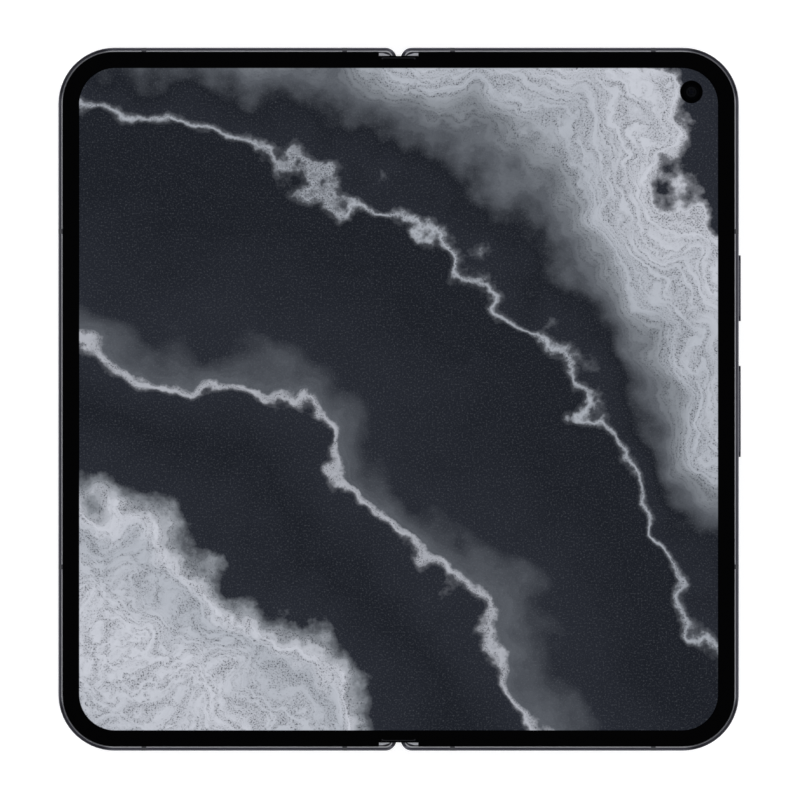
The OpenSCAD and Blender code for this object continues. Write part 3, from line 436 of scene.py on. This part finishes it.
# The picture is a cut and polished face of banded stone: dark slate in which pale quartz lies in arcs
# round a far corner. The black border and the ring round the camera are printed under the film. A pair
# of values says where something begins and where it has wholly set in. APART is how far up in the
# noise the second of two like patterns is taken, so that it differs from the first.
PICTURE_W = 140.96
PICTURE_H = 146.16
PICTURE_CORNER = 8.0
PICTURE_FADE = (-0.06, 0.1)
CAMERA_RING = 2.52
RING_FADE = 0.08
INK = (0.0002, 0.0002, 0.0003, 1)
STONE_CENTRE = (-104, -118)
STONE_REACH = 290
DRIFT = 62
DRIFT_SCALE = 0.021
DRIFT_APART = 40
RIPPLE = 7
COMB_OUTWARDS = 0.75
COMB_ROUND = 22
PALE_STONE = (0.05, 0.3)
DARK_STONE = (0.3, 0.02)
PIT_GRAIN = (0.52, 0.36)
PIT_COMB = (0.42, 0.62)
PIT_DEPTH = 0.8
SPARK_GRAIN = (0.5, 0.72)
SPARK_LIGHT = 0.32
VEIL_COMB = (0.3, 0.75)
VEIL_DEPTH = 0.25
SLATE = shade(27, 30, 37)
SLATE_LIT = shade(38, 41, 49)
ASH = shade(92, 96, 103)
FOG = shade(138, 143, 150)
QUARTZ = shade(178, 183, 192)
CHALK = shade(203, 206, 215)
# Each band's place is a share of the way from the stone's centre to its reach.
STONE_BANDS = [
    (0.00, CHALK),
    (0.20, QUARTZ),
    (0.28, CHALK),
    (0.33, QUARTZ),
    (0.344, CHALK),
    (0.354, FOG),
    (0.362, SLATE_LIT),
    (0.41, SLATE),
    (0.472, SLATE_LIT),
    (0.478, CHALK),
    (0.484, ASH),
    (0.52, SLATE_LIT),
    (0.60, SLATE),
    (0.648, SLATE),
    (0.652, QUARTZ),
    (0.657, SLATE_LIT),
    (0.685, SLATE),
    (0.705, ASH),
    (0.73, FOG),
    (0.748, QUARTZ),
    (0.812, CHALK),
    (0.818, SLATE_LIT),
    (0.90, SLATE),
    (1.00, SLATE),
]

panel = new_finish("lit_screen")
map_uv = panel.add("ShaderNodeUVMap", {"uv_map": "picture"})
centred = panel.vector("SUBTRACT", map_uv, (0.5, 0.5, 0))
at = panel.vector("MULTIPLY", centred, (2 * screen_high.x, 2 * screen_high.y, 1))
px, py, _ = panel.split(at)
drift_x = panel.noise(at, scale=DRIFT_SCALE, detail=3, roughness=0.55)
drift_y = panel.noise(panel.join(py, px, DRIFT_APART), scale=DRIFT_SCALE, detail=3, roughness=0.55)
ripple = (panel.noise(at, scale=0.16, detail=4, roughness=0.6) - 0.5) * RIPPLE
wx = px + (drift_x - 0.5) * DRIFT + ripple - STONE_CENTRE[0]
wy = py + (drift_y - 0.5) * DRIFT + ripple - STONE_CENTRE[1]
reach = (wx * wx + wy * wy) ** 0.5
bearing = wy.math("ARCTAN2", wy, wx)
grain = panel.noise(at, scale=2.6, detail=3, roughness=0.7)
combed = panel.join(reach * COMB_OUTWARDS, bearing * COMB_ROUND)
comb = panel.noise(combed, scale=1, detail=3, roughness=0.6)
band = panel.add("ShaderNodeValToRGB", {"stops": STONE_BANDS}, {0: reach / STONE_REACH})
paleness = panel.add("ShaderNodeRGBToBW", None, {0: band})
pits = grain.rise(*PIT_GRAIN) * comb.rise(*PIT_COMB) * paleness.rise(*PALE_STONE)
pitted = panel.mix(pits * PIT_DEPTH, band, SLATE_LIT)
sparks = grain.rise(*SPARK_GRAIN) * (0.25 + comb * 0.6) * paleness.rise(*DARK_STONE)
stone = panel.mix(sparks * SPARK_LIGHT, pitted, FOG)
veiled = panel.mix(comb.rise(*VEIL_COMB) * VEIL_DEPTH, stone, SLATE_LIT)
inside = depth_inside(panel, at, PICTURE_W / 2, PICTURE_H / 2, PICTURE_CORNER).rise(*PICTURE_FADE)
to_lens = panel.vector("DISTANCE", at, (inner_lens.x, inner_lens.y, 0), out="Value")
lit = inside * to_lens.rise(CAMERA_RING - RING_FADE, CAMERA_RING + RING_FADE)
lit_screen = panel.surface(
    Base_Color=INK,
    Roughness=0.1,
    Specular_IOR_Level=0.02,
    Emission_Color=panel.mix(lit, (0, 0, 0, 1), veiled),
    Emission_Strength=1.0,
)


def side_loop(side, wide, high, radius):
    """Outline of one half of the panel, from the fold to its rounded outer corners."""
    lower = arc(wide - radius, radius - high, radius, -90, 0, CORNER_STEPS)
    upper = arc(wide - radius, high - radius, radius, 0, 90, CORNER_STEPS)
    return [(side * px, py) for px, py in [(0, -high), *lower, *upper, (0, high)]]


hole = arc(inner_lens.x, inner_lens.y, PUNCH, 0, 360, ROUND_STEPS)[:-1]
for side, body, holes in ((1, "right_half", [hole]), (-1, "left_half", [])):
    word = body.split("_")[0]
    outline = side_loop(side, screen_high.x, screen_high.y, SCREEN_CORNER)
    columns = [side * column for column in SCREEN_COLUMNS]
    sheet_mesh = cut_sheet([outline, *holes], screen_low.z, screen_high.z, columns)
    panel_side = finished(f"{word}_panel", sheet_mesh, lit_screen)
    map_picture(panel_side)
    side * BEND_END * MM
    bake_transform(panel_side)
    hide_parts(f"{word}_screen", "fold_screen")

# The screen's edge is held down by a thin black moulding on each half. Over the fold, soft strips of the
# same black rubber take its place, glued to the panel and cut across at columns as it is. A lighter
# grey line along them is a painted highlight, such as a fine rib would catch.
HIGHLIGHT_Y = 75.3
HIGHLIGHT_WIDE = 0.14
HIGHLIGHT_END = 3.57
RUBBER_DARK = (0.0003, 0.0003, 0.0004, 1)
RUBBER_LIGHT = (0.0006, 0.0006, 0.0008, 1)
edge = new_finish("black_moulding")
here = edge.place()
x, y, _ = edge.split(here)
# Painted highlight: a lighter grey line along each strip, with short marks at its ends. The strip's shape
# has no rib.
rib_highlight = (abs(abs(y) - HIGHLIGHT_Y) < HIGHLIGHT_WIDE / 2) * (abs(x) < HIGHLIGHT_END)
knob_highlight = (abs(abs(y) - HIGHLIGHT_Y + HIGHLIGHT_WIDE) < HIGHLIGHT_WIDE) * (abs(abs(x) - HIGHLIGHT_END) < HIGHLIGHT_WIDE)
rub = edge.noise(here, scale=8, detail=3)
black = edge.mix(rub, RUBBER_DARK, RUBBER_LIGHT)
black_moulding = edge.surface(
    Base_Color=edge.mix(rib_highlight.at_least(knob_highlight), black, shade(38, 38, 41)),
    Roughness=0.3 + rub * 0.08,
    Specular_IOR_Level=0.02,
    Normal=edge.bump(rub, depth_mm=0.001),
)
dress(black_moulding, "right_bezel", "left_bezel")

BORDER_WIDE = 3.38
STRIP_COLUMNS = [COLUMN_STEP * k for k in range(1, 15)]
strip_low, strip_high = in_mm(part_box("fold_strips"))
strip_inner = half_h - RIM - BORDER_WIDE


def skin(mesh, rings):
    """Joins the rings of a closed section one after another, and caps both ends."""
    for first, second in zip(rings, rings[1:]):
        for k in range(len(first)):
            after = (k + 1) % len(first)
            mesh.faces.new((first[k], first[after], second[after], second[k]))
    mesh.faces.new(rings[0])
    mesh.faces.new(rings[-1][::-1])


def bent_bar(section, columns, sags=None):
    """A bar along X with its closed section given in Y and Z, cut at each column, where it may sag."""
    mesh = bmesh.new()
    drops = sags or [0] * len(columns)
    stations = zip(columns, drops)
    rings = [[mesh.verts.new((column, py, pz - drop)) for py, pz in section] for column, drop in stations]
    skin(mesh, rings)
    return mesh


for side, body in ((1, "right_half"), (-1, "left_half")):
    for end, end_name in ((1, "top"), (-1, "bottom")):
        section = [
            (end * strip_inner, strip_low.z),
            (end * strip_inner, strip_high.z),
            (end * strip_high.y, strip_high.z),
            (end * strip_high.y, strip_low.z),
        ]
        stations = [side * column for column in [0, *STRIP_COLUMNS, strip_high.x]]
        strip = finished(f"{body}_{end_name}_strip", bent_bar(section, stations), black_moulding)
        side * BEND_END * MM
        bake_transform(strip)
        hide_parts("fold_strips")

# ---------------------------------------------------------------- inner camera
# A small camera looks out through the hole in the panel. Its face is flocked black, and a turned black
# collar leads down in steps to a lens of 1.2 mm under an anti-glare coating.
LENS_SUNK = 0.08
LENS_R = 0.6
LENS_RISE = 0.06
COLLAR_R = 1.15
COLLAR_BACK = 0.05
# Width and height, over the ground that the lens stands on.
COLLAR_LIP = (0.1, 0.05)
COLLAR_TREAD = (0.15, 0.02)
DOME_STEPS = 8
lens_ground = lens_high.z - LENS_SUNK


def turned(profile, centre, finish, name, smooth=False):
    """A turned piece: an outline of radius and height, carried round an upright axis."""
    cx, cy = centre[:2]
    mesh = bmesh.new()
    rings = []
    for radius, level in profile:
        around = arc(cx, cy, radius, 0, 360, ROUND_STEPS)[:-1] if radius else [(cx, cy)]
        rings.append([mesh.verts.new((px, py, level)) for px, py in around])
    if profile[0][0]:
        rings.append(rings[0])
    for first, second in zip(rings, rings[1:]):
        for k in range(ROUND_STEPS):
            inner = [first[i % len(first)] for i in (k, k + 1)]
            outer = [second[i % len(second)] for i in (k + 1, k)]
            mesh.faces.new(dict.fromkeys(inner + outer))
    return finished(name, mesh, finish, smooth)


def dome(radius, rim_z, rise):
    """Profile of a shallow cap, from its middle to its rim."""
    turns = [math.pi / 2 * k / DOME_STEPS for k in range(1, DOME_STEPS + 1)]
    return [(0, rim_z + rise)] + [(radius * math.sin(t), rim_z + rise * math.cos(t)) for t in turns]


def dull_black(name, dark, light, shine):
    """Black that swallows light, with a fine tooth. The shine is how strongly its skin mirrors."""
    finish = new_finish(name)
    speck = finish.noise(finish.place(), scale=14, detail=2)
    return finish.surface(
        Base_Color=finish.mix(speck, dark, light),
        Roughness=0.4 + speck * 0.15,
        Specular_IOR_Level=shine,
        Normal=finish.bump(speck, depth_mm=0.002),
    )


def coated_glass(name, blue, violet, shine):
    """A lens under a thin coating, which shows as blue in some places and as violet in others."""
    finish = new_finish(name)
    hue = finish.noise(finish.place(), scale=0.6, detail=1)
    return finish.surface(
        Base_Color=finish.mix(hue, blue, violet),
        Roughness=0.04 + hue * 0.02,
        Specular_IOR_Level=shine,
    )


flock = dull_black("flocked_black", shade(1, 1, 2), shade(3, 3, 4), 0.01)
dress(flock, "inner_camera")
barrel_black = dull_black("barrel_black", shade(12, 12, 14), shade(20, 20, 23), 0.2)
dress(barrel_black, "rear_cameras", "cover_camera")
collar_black = dull_black("collar_black", shade(7, 8, 10), shade(11, 12, 15), 0.03)
front_glass = coated_glass("anti_glare_lens", shade(6, 8, 13), shade(9, 8, 14), 0.06)
coated_lens = coated_glass("coated_lens", shade(9, 12, 22), shade(16, 10, 24), 0.2)
collar_steps = [
    (0, lens_ground - COLLAR_BACK),
    (COLLAR_R, lens_ground - COLLAR_BACK),
    (COLLAR_R, lens_ground + COLLAR_LIP[1]),
    (COLLAR_R - COLLAR_LIP[0], lens_ground + COLLAR_LIP[1]),
    (COLLAR_R - COLLAR_TREAD[0], lens_ground + COLLAR_TREAD[1]),
    (LENS_R + COLLAR_TREAD[0], lens_ground + COLLAR_TREAD[1]),
    (LENS_R + COLLAR_LIP[0], lens_ground),
    (0, lens_ground),
]
collar = turned(collar_steps, inner_lens, collar_black, "inner_lens_collar")
front_shape = [*dome(LENS_R, lens_ground, LENS_RISE), (0, lens_ground)]
front_lens = turned(front_shape, inner_lens, front_glass, "inner_lens", True)
for piece, slot in ((collar, "module_black"), (front_lens, "lens_glass")):
    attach(piece, "right_half")

# ---------------------------------------------------------------- back glass and camera island
# The back of the right half is one pane of glass, etched outside so that it is silky and takes no prints.
# The dished metal island stands through it, with three lens rings pressed in.
etched = new_finish("etched_glass")
here = etched.place()
haze = etched.noise(here, scale=0.05, detail=3)
tooth = etched.noise(here, scale=16, detail=2)
etched_glass = etched.surface(
    Base_Color=etched.mix(haze, shade(41, 42, 46), shade(48, 49, 53)),
    Roughness=0.42 + tooth * 0.08 + haze * 0.04,
    Normal=etched.bump(tooth, depth_mm=0.002),
)
dress(etched_glass, "back_glass")

island_low, island_high = in_mm(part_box("camera_island"))
island_mid = (island_low + island_high) / 2
island_face = island_low.z
# Each lens lies this far from the island's middle, and the third value is its ring's radius.
LENSES = [(9.6, 6.6, 5.4), (-9.6, 6.6, 4.7), (9.6, -7.4, 4.7)]
RING_LAP = 0.4
lens_places = [(island_mid.x + lx, island_mid.y + ly) for lx, ly, _ in LENSES]


def nearest(finish, vector, places):
    """Distance in plan to the closest of some upright axes."""
    x, y, _ = finish.split(vector)
    level = finish.join(x, y)
    found = None
    for px, py in places:
        away = finish.vector("DISTANCE", level, (px, py, 0), out="Value")
        found = found.at_most(away) if found else away
    return found


ring = new_finish("turned_ring")
tool = ring.noise(ring.join(nearest(ring, ring.place(), lens_places)), scale=22, detail=3)
turned_ring = ring.surface(
    Base_Color=ring.mix(tool, shade(66, 66, 71), shade(92, 92, 98)),
    Metallic=1.0,
    Roughness=0.18 + tool * 0.14,
    Normal=ring.bump(tool, depth_mm=0.003),
)
dress(turned_ring, "lens_rings")

# Each lens has a window with black ink under its rim. Behind the clear middle the barrel steps down to
# the front element, which bulges outwards and carries a violet coating.
WINDOW_DEEP = 0.5
WINDOW_CHAMFER = 0.06
CLEAR_SHARE = 0.62
BARREL_PLAY = 0.08
BARREL_MOUTH = 0.16
BARREL_TREAD = 0.3
BARREL_FLOOR = 0.42
BARREL_BACK = 0.54
BARREL_SHARES = (0.86, 0.84, 0.74, 0.72)
ELEMENT_SHARE = 0.7
ELEMENT_BULGE = 0.26
inked = new_finish("inked_window")
smear = inked.noise(inked.place(), scale=0.4, detail=3)
inked_window = inked.surface(
    Base_Color=inked.mix(smear, shade(6, 6, 8), shade(10, 10, 13)),
    Roughness=0.05 + smear * 0.04,
    Specular_IOR_Level=0.35,
)
for number, ((_, _, radius), lens_place) in enumerate(zip(LENSES, lens_places)):
    rim_r = radius - RING_LAP
    clear_r = rim_r * CLEAR_SHARE
    barrel_r = clear_r - BARREL_PLAY
    floor = island_face + BARREL_FLOOR
    mouth_r, tread_r, ledge_r, floor_r = (clear_r * share for share in BARREL_SHARES)
    lens_window = [
        (rim_r, island_face + WINDOW_DEEP),
        (rim_r, island_face + WINDOW_CHAMFER),
        (rim_r - WINDOW_CHAMFER, island_face),
        (clear_r, island_face),
        (clear_r - WINDOW_CHAMFER, island_face + WINDOW_CHAMFER),
        (clear_r - WINDOW_CHAMFER, island_face + WINDOW_DEEP),
    ]
    barrel = [
        (0, island_face + BARREL_BACK),
        (barrel_r, island_face + BARREL_BACK),
        (barrel_r, island_face + BARREL_MOUTH),
        (mouth_r, island_face + BARREL_MOUTH),
        (tread_r, island_face + BARREL_TREAD),
        (ledge_r, island_face + BARREL_TREAD),
        (floor_r, floor),
        (0, floor),
    ]
    element = [*dome(clear_r * ELEMENT_SHARE, floor, -ELEMENT_BULGE), (0, floor)]
    for word, profile, finish, slot, smooth in (
        ("window", lens_window, inked_window, "lens_glass", False),
        ("barrel", barrel, barrel_black, "module_black", False),
        ("element", element, coated_lens, "lens_glass", True),
    ):
        piece = turned(profile, lens_place, finish, f"rear_lens_{number}_{word}", smooth)
        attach(piece, "right_half")
        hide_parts("lens_glasses")

# The flash shines through a pale moulded lens, ribbed in rings so that two small lamps light evenly.
FLASH_R = 2.38
FLASH_RIBS = 6
RIB_DEPTHS = (0.02, 0.14)
LAMP_OFF = 0.75
LAMP_HALF = (0.5, 0.55)
flash_low, flash_high = in_mm(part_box("flash_window"))
flash_mid = (flash_low + flash_high) / 2
flash = new_finish("flash_lens")
here = flash.place()
x, y, _ = flash.split(here)
lamp = (abs(abs(x - flash_mid.x) - LAMP_OFF) < LAMP_HALF[0]) * (abs(y - flash_mid.y) < LAMP_HALF[1])
milk = flash.noise(here, scale=3, detail=3)
flash_lens = flash.surface(
    Base_Color=flash.mix(lamp * (0.7 + milk * 0.3), shade(236, 232, 216), shade(232, 206, 118)),
    Roughness=0.2 + milk * 0.1,
    Coat_Weight=0.4,
)
ribs = [(FLASH_R * k / FLASH_RIBS, flash_low.z + RIB_DEPTHS[k % 2]) for k in range(FLASH_RIBS + 1)]
flash_shape = [*ribs, (FLASH_R, flash_high.z), (0, flash_high.z)]
flash_piece = turned(flash_shape, flash_mid, flash_lens, "flash_lens")
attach(flash_piece, "right_half")
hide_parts("flash_window")

# ---------------------------------------------------------------- cover glass and outer screen
# The outer screen fills the left half's back. It is off, so its glass is black, with the picture area a
# breath greyer than the ink round it and a ring printed about the camera.
COVER_CORNER = 9
COVER_FADE = (0, 0.2)
INK_RING = (2.3, 2.4)
BARREL_OUTSIDE = (1.5, 1.45)
BARREL_INSIDE = (1.1, 1.15)
PUPIL = (0.75, 0.65)
cover_low, cover_high = in_mm(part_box("cover_screen"))
cover_mid = (cover_low + cover_high) / 2
camera_low, camera_high = in_mm(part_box("cover_camera"))
camera_mid = (camera_low + camera_high) / 2
cover = new_finish("cover_glass")
here = cover.place()
cover_half = (cover_high - cover_low) / 2
cover_centre = (cover_mid.x, cover_mid.y)
from_ink = depth_inside(cover, here, cover_half.x, cover_half.y, COVER_CORNER, cover_centre)
about = nearest(cover, here, [(camera_mid.x, camera_mid.y)])
area = from_ink.rise(*COVER_FADE) * about.rise(*INK_RING)
barrel_ring = about.rise(*BARREL_OUTSIDE) * about.rise(*BARREL_INSIDE)
pupil = about.rise(*PUPIL)
wipe = cover.noise(here, scale=0.08, detail=3)
off_glass = cover.mix(area, shade(3, 3, 4), shade(22, 23, 27))
ringed = cover.mix(barrel_ring, off_glass, shade(58, 60, 66))
cover_glass = cover.surface(
    Base_Color=cover.mix(pupil, ringed, shade(38, 52, 92)),
    Roughness=0.05 + wipe * 0.06,
)
dress(cover_glass, "cover_glass")

PIXEL_STEP = 0.4
pixels = new_finish("dark_pixels")
x, y, _ = pixels.split(pixels.place())
mesh_lines = ((x % PIXEL_STEP) < PIXEL_STEP / 2) * ((y % PIXEL_STEP) < PIXEL_STEP / 2)
dark_pixels = pixels.surface(
    Base_Color=pixels.mix(mesh_lines, shade(14, 15, 18), shade(22, 24, 28)),
    Roughness=0.2 + mesh_lines * 0.1,
)
dress(dark_pixels, "cover_screen")

# ---------------------------------------------------------------- hinge
# A drawn aluminium trough closes the spine, dyed as the frame is. Inside, steel brackets hold the pins,
# on which the arms, their meshing gears and the friction discs turn.


def worked_metal(name, dark, light, rough, stretch=(1, 1, 1), depth_mm=0.003):
    """Bare or dyed metal with the marks of its making, drawn out by a stretch along each axis."""
    finish = new_finish(name)
    x, y, z = finish.split(finish.place())
    drawn = finish.join(x * stretch[0], y * stretch[1], z * stretch[2])
    marks = finish.noise(drawn, scale=3, detail=4, roughness=0.6)
    return finish.surface(
        Base_Color=finish.mix(marks, dark, light),
        Metallic=1.0,
        Roughness=rough + marks * 0.12,
        Normal=finish.bump(marks, depth_mm),
    )


ALONG_Y = (3, 0.1, 3)
ALONG_X = (0.1, 3, 3)
spine_metal = worked_metal("spine_metal", shade(78, 78, 84), shade(94, 94, 100), 0.24, ALONG_Y, 0.002)
dress(spine_metal, "spine_cover", "spine_end_caps")
milled_steel = worked_metal("milled_steel", shade(140, 141, 145), shade(168, 169, 172), 0.28, ALONG_X)
dress(milled_steel, "hinge_brackets", "right_hinge_arms", "left_hinge_arms")
ground_steel = worked_metal("ground_steel", shade(196, 197, 200), shade(216, 217, 220), 0.14, ALONG_X)
dress(ground_steel, "hinge_pins", "right_plate_screws", "left_plate_screws")
spring_bronze = worked_metal("spring_bronze", shade(176, 160, 122), shade(200, 184, 142), 0.26)
dress(spring_bronze, "friction_discs", "right_gears", "left_gears", "key_switches")

# Thin rolled plates carry the screen: one in each half, a strip in the middle, and two that tilt away as
# the phone shuts, so that the panel can bend into the room between the halves.
rolled_sheet = worked_metal("rolled_sheet", shade(168, 170, 174), shade(196, 198, 201), 0.3, ALONG_Y)
dress(rolled_sheet, "right_plate", "left_plate", "middle_plate", "right_wing", "left_wing")

# Two flat cables cross the fold between the hinges. Their copper tracks lie between amber films, and
# each cable is built in two halves, one for each side of the phone. The sag is a drop at each place along X.
RIBBON_BEND = (3.0, 4.9)
RIBBON_FINE = 0.1
RIBBON_COLUMNS = [0, *(RIBBON_BEND[0] + RIBBON_FINE * k for k in range(21))]
RIBBON_SAG = [(0, 1.65), (3.3, 1.65), (3.6, 0.1), (4.4, 0.1), (4.8, 0.6), (7.2, 0.6)]
RIBBON_WIDE = 10
TRACK_STEP = 0.5
TRACK_SHARE = 0.55
ribbon_low, ribbon_high = in_mm(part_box("hinge_ribbons"))
film = new_finish("amber_film")
_, y, _ = film.split(film.place())
track = (y % TRACK_STEP) < TRACK_STEP * TRACK_SHARE
amber_film = film.surface(
    Base_Color=film.mix(track, shade(176, 104, 34), shade(112, 58, 22)),
    Roughness=0.32 - track * 0.06,
    Normal=film.bump(track, depth_mm=0.01),
)


def along(stops, at):
    """The value of a broken line at a place."""
    for (x0, v0), (x1, v1) in zip(stops, stops[1:]):
        if at <= x1:
            return v0 + (v1 - v0) * (at - x0) / (x1 - x0)
    return stops[-1][1]


ribbon_stations = [*RIBBON_COLUMNS, ribbon_high.x]
sags = [along(RIBBON_SAG, station) for station in ribbon_stations]
for end, end_name in ((1, "upper"), (-1, "lower")):
    outer = ribbon_high.y if end > 0 else ribbon_low.y
    inner = outer - end * RIBBON_WIDE
    section = [(inner, ribbon_low.z), (outer, ribbon_low.z), (outer, ribbon_high.z), (inner, ribbon_high.z)]
    for side, body in ((1, "right_half"), (-1, "left_half")):
        stations = [side * station for station in ribbon_stations]
        cable = finished(f"{body}_{end_name}_cable", bent_bar(section, stations, sags), amber_film)
        bend_start, bend_end = ((side * place * MM, 0, 0) for place in RIBBON_BEND)
        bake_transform(cable)
        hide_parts("hinge_ribbons")

# ---------------------------------------------------------------- circuit boards
# The boards are laminate under green lacquer, with tracks that run both ways and gilt pads. Drawn tin
# cans cover the chips, and small round vents let their heat out. The vents are pressed in a little and
# painted dark: painted shade for the depth of each hole.
TRACK_ALONG = 0.35
TRACK_ACROSS = 3
TRACK_EDGE = (0.55, 0.58)
RUNGS_APART = 7
PAD_STEP = (2.4, 1.8)
PAD_SIZE = (0.5, 0.7)
board = new_finish("circuit_board")
here = board.place()
x, y, _ = board.split(here)
along_x = board.join(x * TRACK_ALONG, y * TRACK_ACROSS)
along_y = board.join(x * TRACK_ACROSS, y * TRACK_ALONG, RUNGS_APART)
lanes, rungs = (board.noise(way, scale=1, detail=1).rise(*TRACK_EDGE) for way in (along_x, along_y))
tracks = lanes.at_least(rungs)
pad_grid = ((x % PAD_STEP[0]) < PAD_SIZE[0]) * ((y % PAD_STEP[1]) < PAD_SIZE[1])
pads = pad_grid * (board.noise(here, scale=0.25) > 0.5)
lacquer = board.mix(tracks, shade(16, 62, 44), shade(30, 92, 64))
circuit_board = board.surface(
    Base_Color=board.mix(pads, lacquer, shade(214, 178, 104)),
    Metallic=pads,
    Roughness=0.38 - pads * 0.14,
    Normal=board.bump(tracks, depth_mm=0.02),
)
dress(circuit_board, "main_board", "left_board", "charge_board")

VENT_STEP = 3
VENT_AREA = (0.2, 0.14)
tin = new_finish("tinned_can")
here = tin.place()
x, y, _ = tin.split(here)
vent_x, vent_y = (x % VENT_STEP) - VENT_STEP / 2, (y % VENT_STEP) - VENT_STEP / 2
# Painted shade: each vent is coloured dark grey, for the shade inside the hole.
vent = (vent_x * vent_x + vent_y * vent_y).rise(*VENT_AREA)
temper = tin.noise(here, scale=0.7, detail=4)
tinned_can = tin.surface(
    Base_Color=tin.mix(vent, tin.mix(temper, shade(176, 177, 178), shade(200, 201, 202)), shade(40, 40, 42)),
    Metallic=1.0,
    Roughness=0.3 + temper * 0.12,
    Normal=tin.bump(1 - vent, depth_mm=0.05),
)
dress(tinned_can, "shield_cans", "card_reader", "usb_shell", "vibration_motor")

# ---------------------------------------------------------------- batteries
# Each cell is a pouch of laminated foil, a little crinkled by its filling, with an amber tape over the
# circuit strip at its upper end.
TAPE_WIDE = 4


def pouch_foil(node):
    """Gives a battery its own foil, because the tape is found from its own upper end."""
    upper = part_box(node)[1].y / MM
    finish = new_finish(f"{node}_foil")
    here = finish.place()
    _, y, _ = finish.split(here)
    tape = y > upper - TAPE_WIDE
    crinkle = finish.noise(here, scale=0.5, detail=5, roughness=0.6)
    foil = finish.mix(crinkle, shade(40, 40, 44), shade(54, 54, 59))
    finish.surface(
        Base_Color=finish.mix(tape, foil, shade(190, 124, 44)),
        Roughness=0.34 + crinkle * 0.1,
        Normal=finish.bump(crinkle, depth_mm=0.06),
    )
    dress(finish.owner, node)


pouch_foil("right_battery")
pouch_foil("left_battery")

# ---------------------------------------------------------------- charging coil
# A flat winding of lacquered copper strip lies against the back glass and picks up the charger's field.
# It is wound as one spiral from the middle outwards, and its lacquer holds it together.
WINDING_TURNS = 11
WINDING_STEPS = 60
STRIP_SHARE = 0.8
coil_low, coil_high = in_mm(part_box("charging_coil"))
coil_mid = (coil_low + coil_high) / 2
coil_r = (coil_high.x - coil_low.x) / 2
pitch = coil_r / 2 / (WINDING_TURNS + 1)
copper = worked_metal("lacquered_copper", shade(188, 108, 64), shade(212, 132, 84), 0.26)
winding = bmesh.new()
rings = []
for k in range(WINDING_TURNS * WINDING_STEPS + 1):
    angle = 2 * math.pi * k / WINDING_STEPS
    inner = coil_r / 2 + pitch * k / WINDING_STEPS
    outer = inner + pitch * STRIP_SHARE
    section = [(inner, coil_low.z), (inner, coil_high.z), (outer, coil_high.z), (outer, coil_low.z)]
    way = Vector((math.cos(angle), math.sin(angle), 0))
    centre = Vector((coil_mid.x, coil_mid.y, 0))
    rings.append([winding.verts.new(centre + way * r + Vector((0, 0, level))) for r, level in section])
skin(winding, rings)
coil = finished("charging_winding", winding, copper)
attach(coil, "right_half")
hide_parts("charging_coil")

# ---------------------------------------------------------------- sockets, sound and magnets
# The charging socket's tongue is black glass-filled plastic with gilt contacts. The loudspeaker and the
# earpiece are black boxes with a pressed plate in the lid.
CONTACT_STEP = 0.5
CONTACT_ROW = 2.9
TONGUE_CORE = 0.3
usb_low, usb_high = in_mm(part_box("usb_tongue"))
usb_mid = (usb_low + usb_high) / 2
tongue = new_finish("socket_tongue")
x, y, z = tongue.split(tongue.place())
in_row = ((x - usb_mid.x + CONTACT_STEP / 4) % CONTACT_STEP) < CONTACT_STEP / 2
on_face = (abs(x - usb_mid.x) < CONTACT_ROW) * (abs(z - usb_mid.z) > TONGUE_CORE)
contact = in_row * on_face * (y < usb_mid.y)
socket_tongue = tongue.surface(
    Base_Color=tongue.mix(contact, shade(16, 16, 18), shade(222, 184, 104)),
    Metallic=contact,
    Roughness=0.4 - contact * 0.18,
)
dress(socket_tongue, "usb_tongue")

LID_CORNER = 1.2
LID_FADE = (1.1, 1.3)
LID_PROUD = 1.5


def boxed_driver(node):
    """Gives a sound box its own finish, because its lid is found from its own outline."""
    low, high = in_mm(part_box(node))
    middle, half = (low + high) / 2, (high - low) / 2
    finish = new_finish(f"{node}_box")
    here = finish.place()
    lid = depth_inside(finish, here, half.x, half.y, LID_CORNER, (middle.x, middle.y)).rise(*LID_FADE)
    pebble = finish.noise(here, scale=7, detail=3)
    finish.surface(
        Base_Color=finish.mix(lid, shade(20, 20, 22), shade(120, 121, 124)),
        Metallic=lid,
        Roughness=0.5 + pebble * 0.12 - lid * 0.16,
        Normal=finish.bump(pebble * (1 - lid) + lid * LID_PROUD, depth_mm=0.01),
    )
    dress(finish.owner, node)


boxed_driver("loudspeaker")
boxed_driver("earpiece")
nickel = worked_metal("plated_nickel", shade(180, 179, 174), shade(204, 203, 198), 0.16, (1, 1, 1), 0.001)
dress(nickel, "right_magnets", "left_magnets")
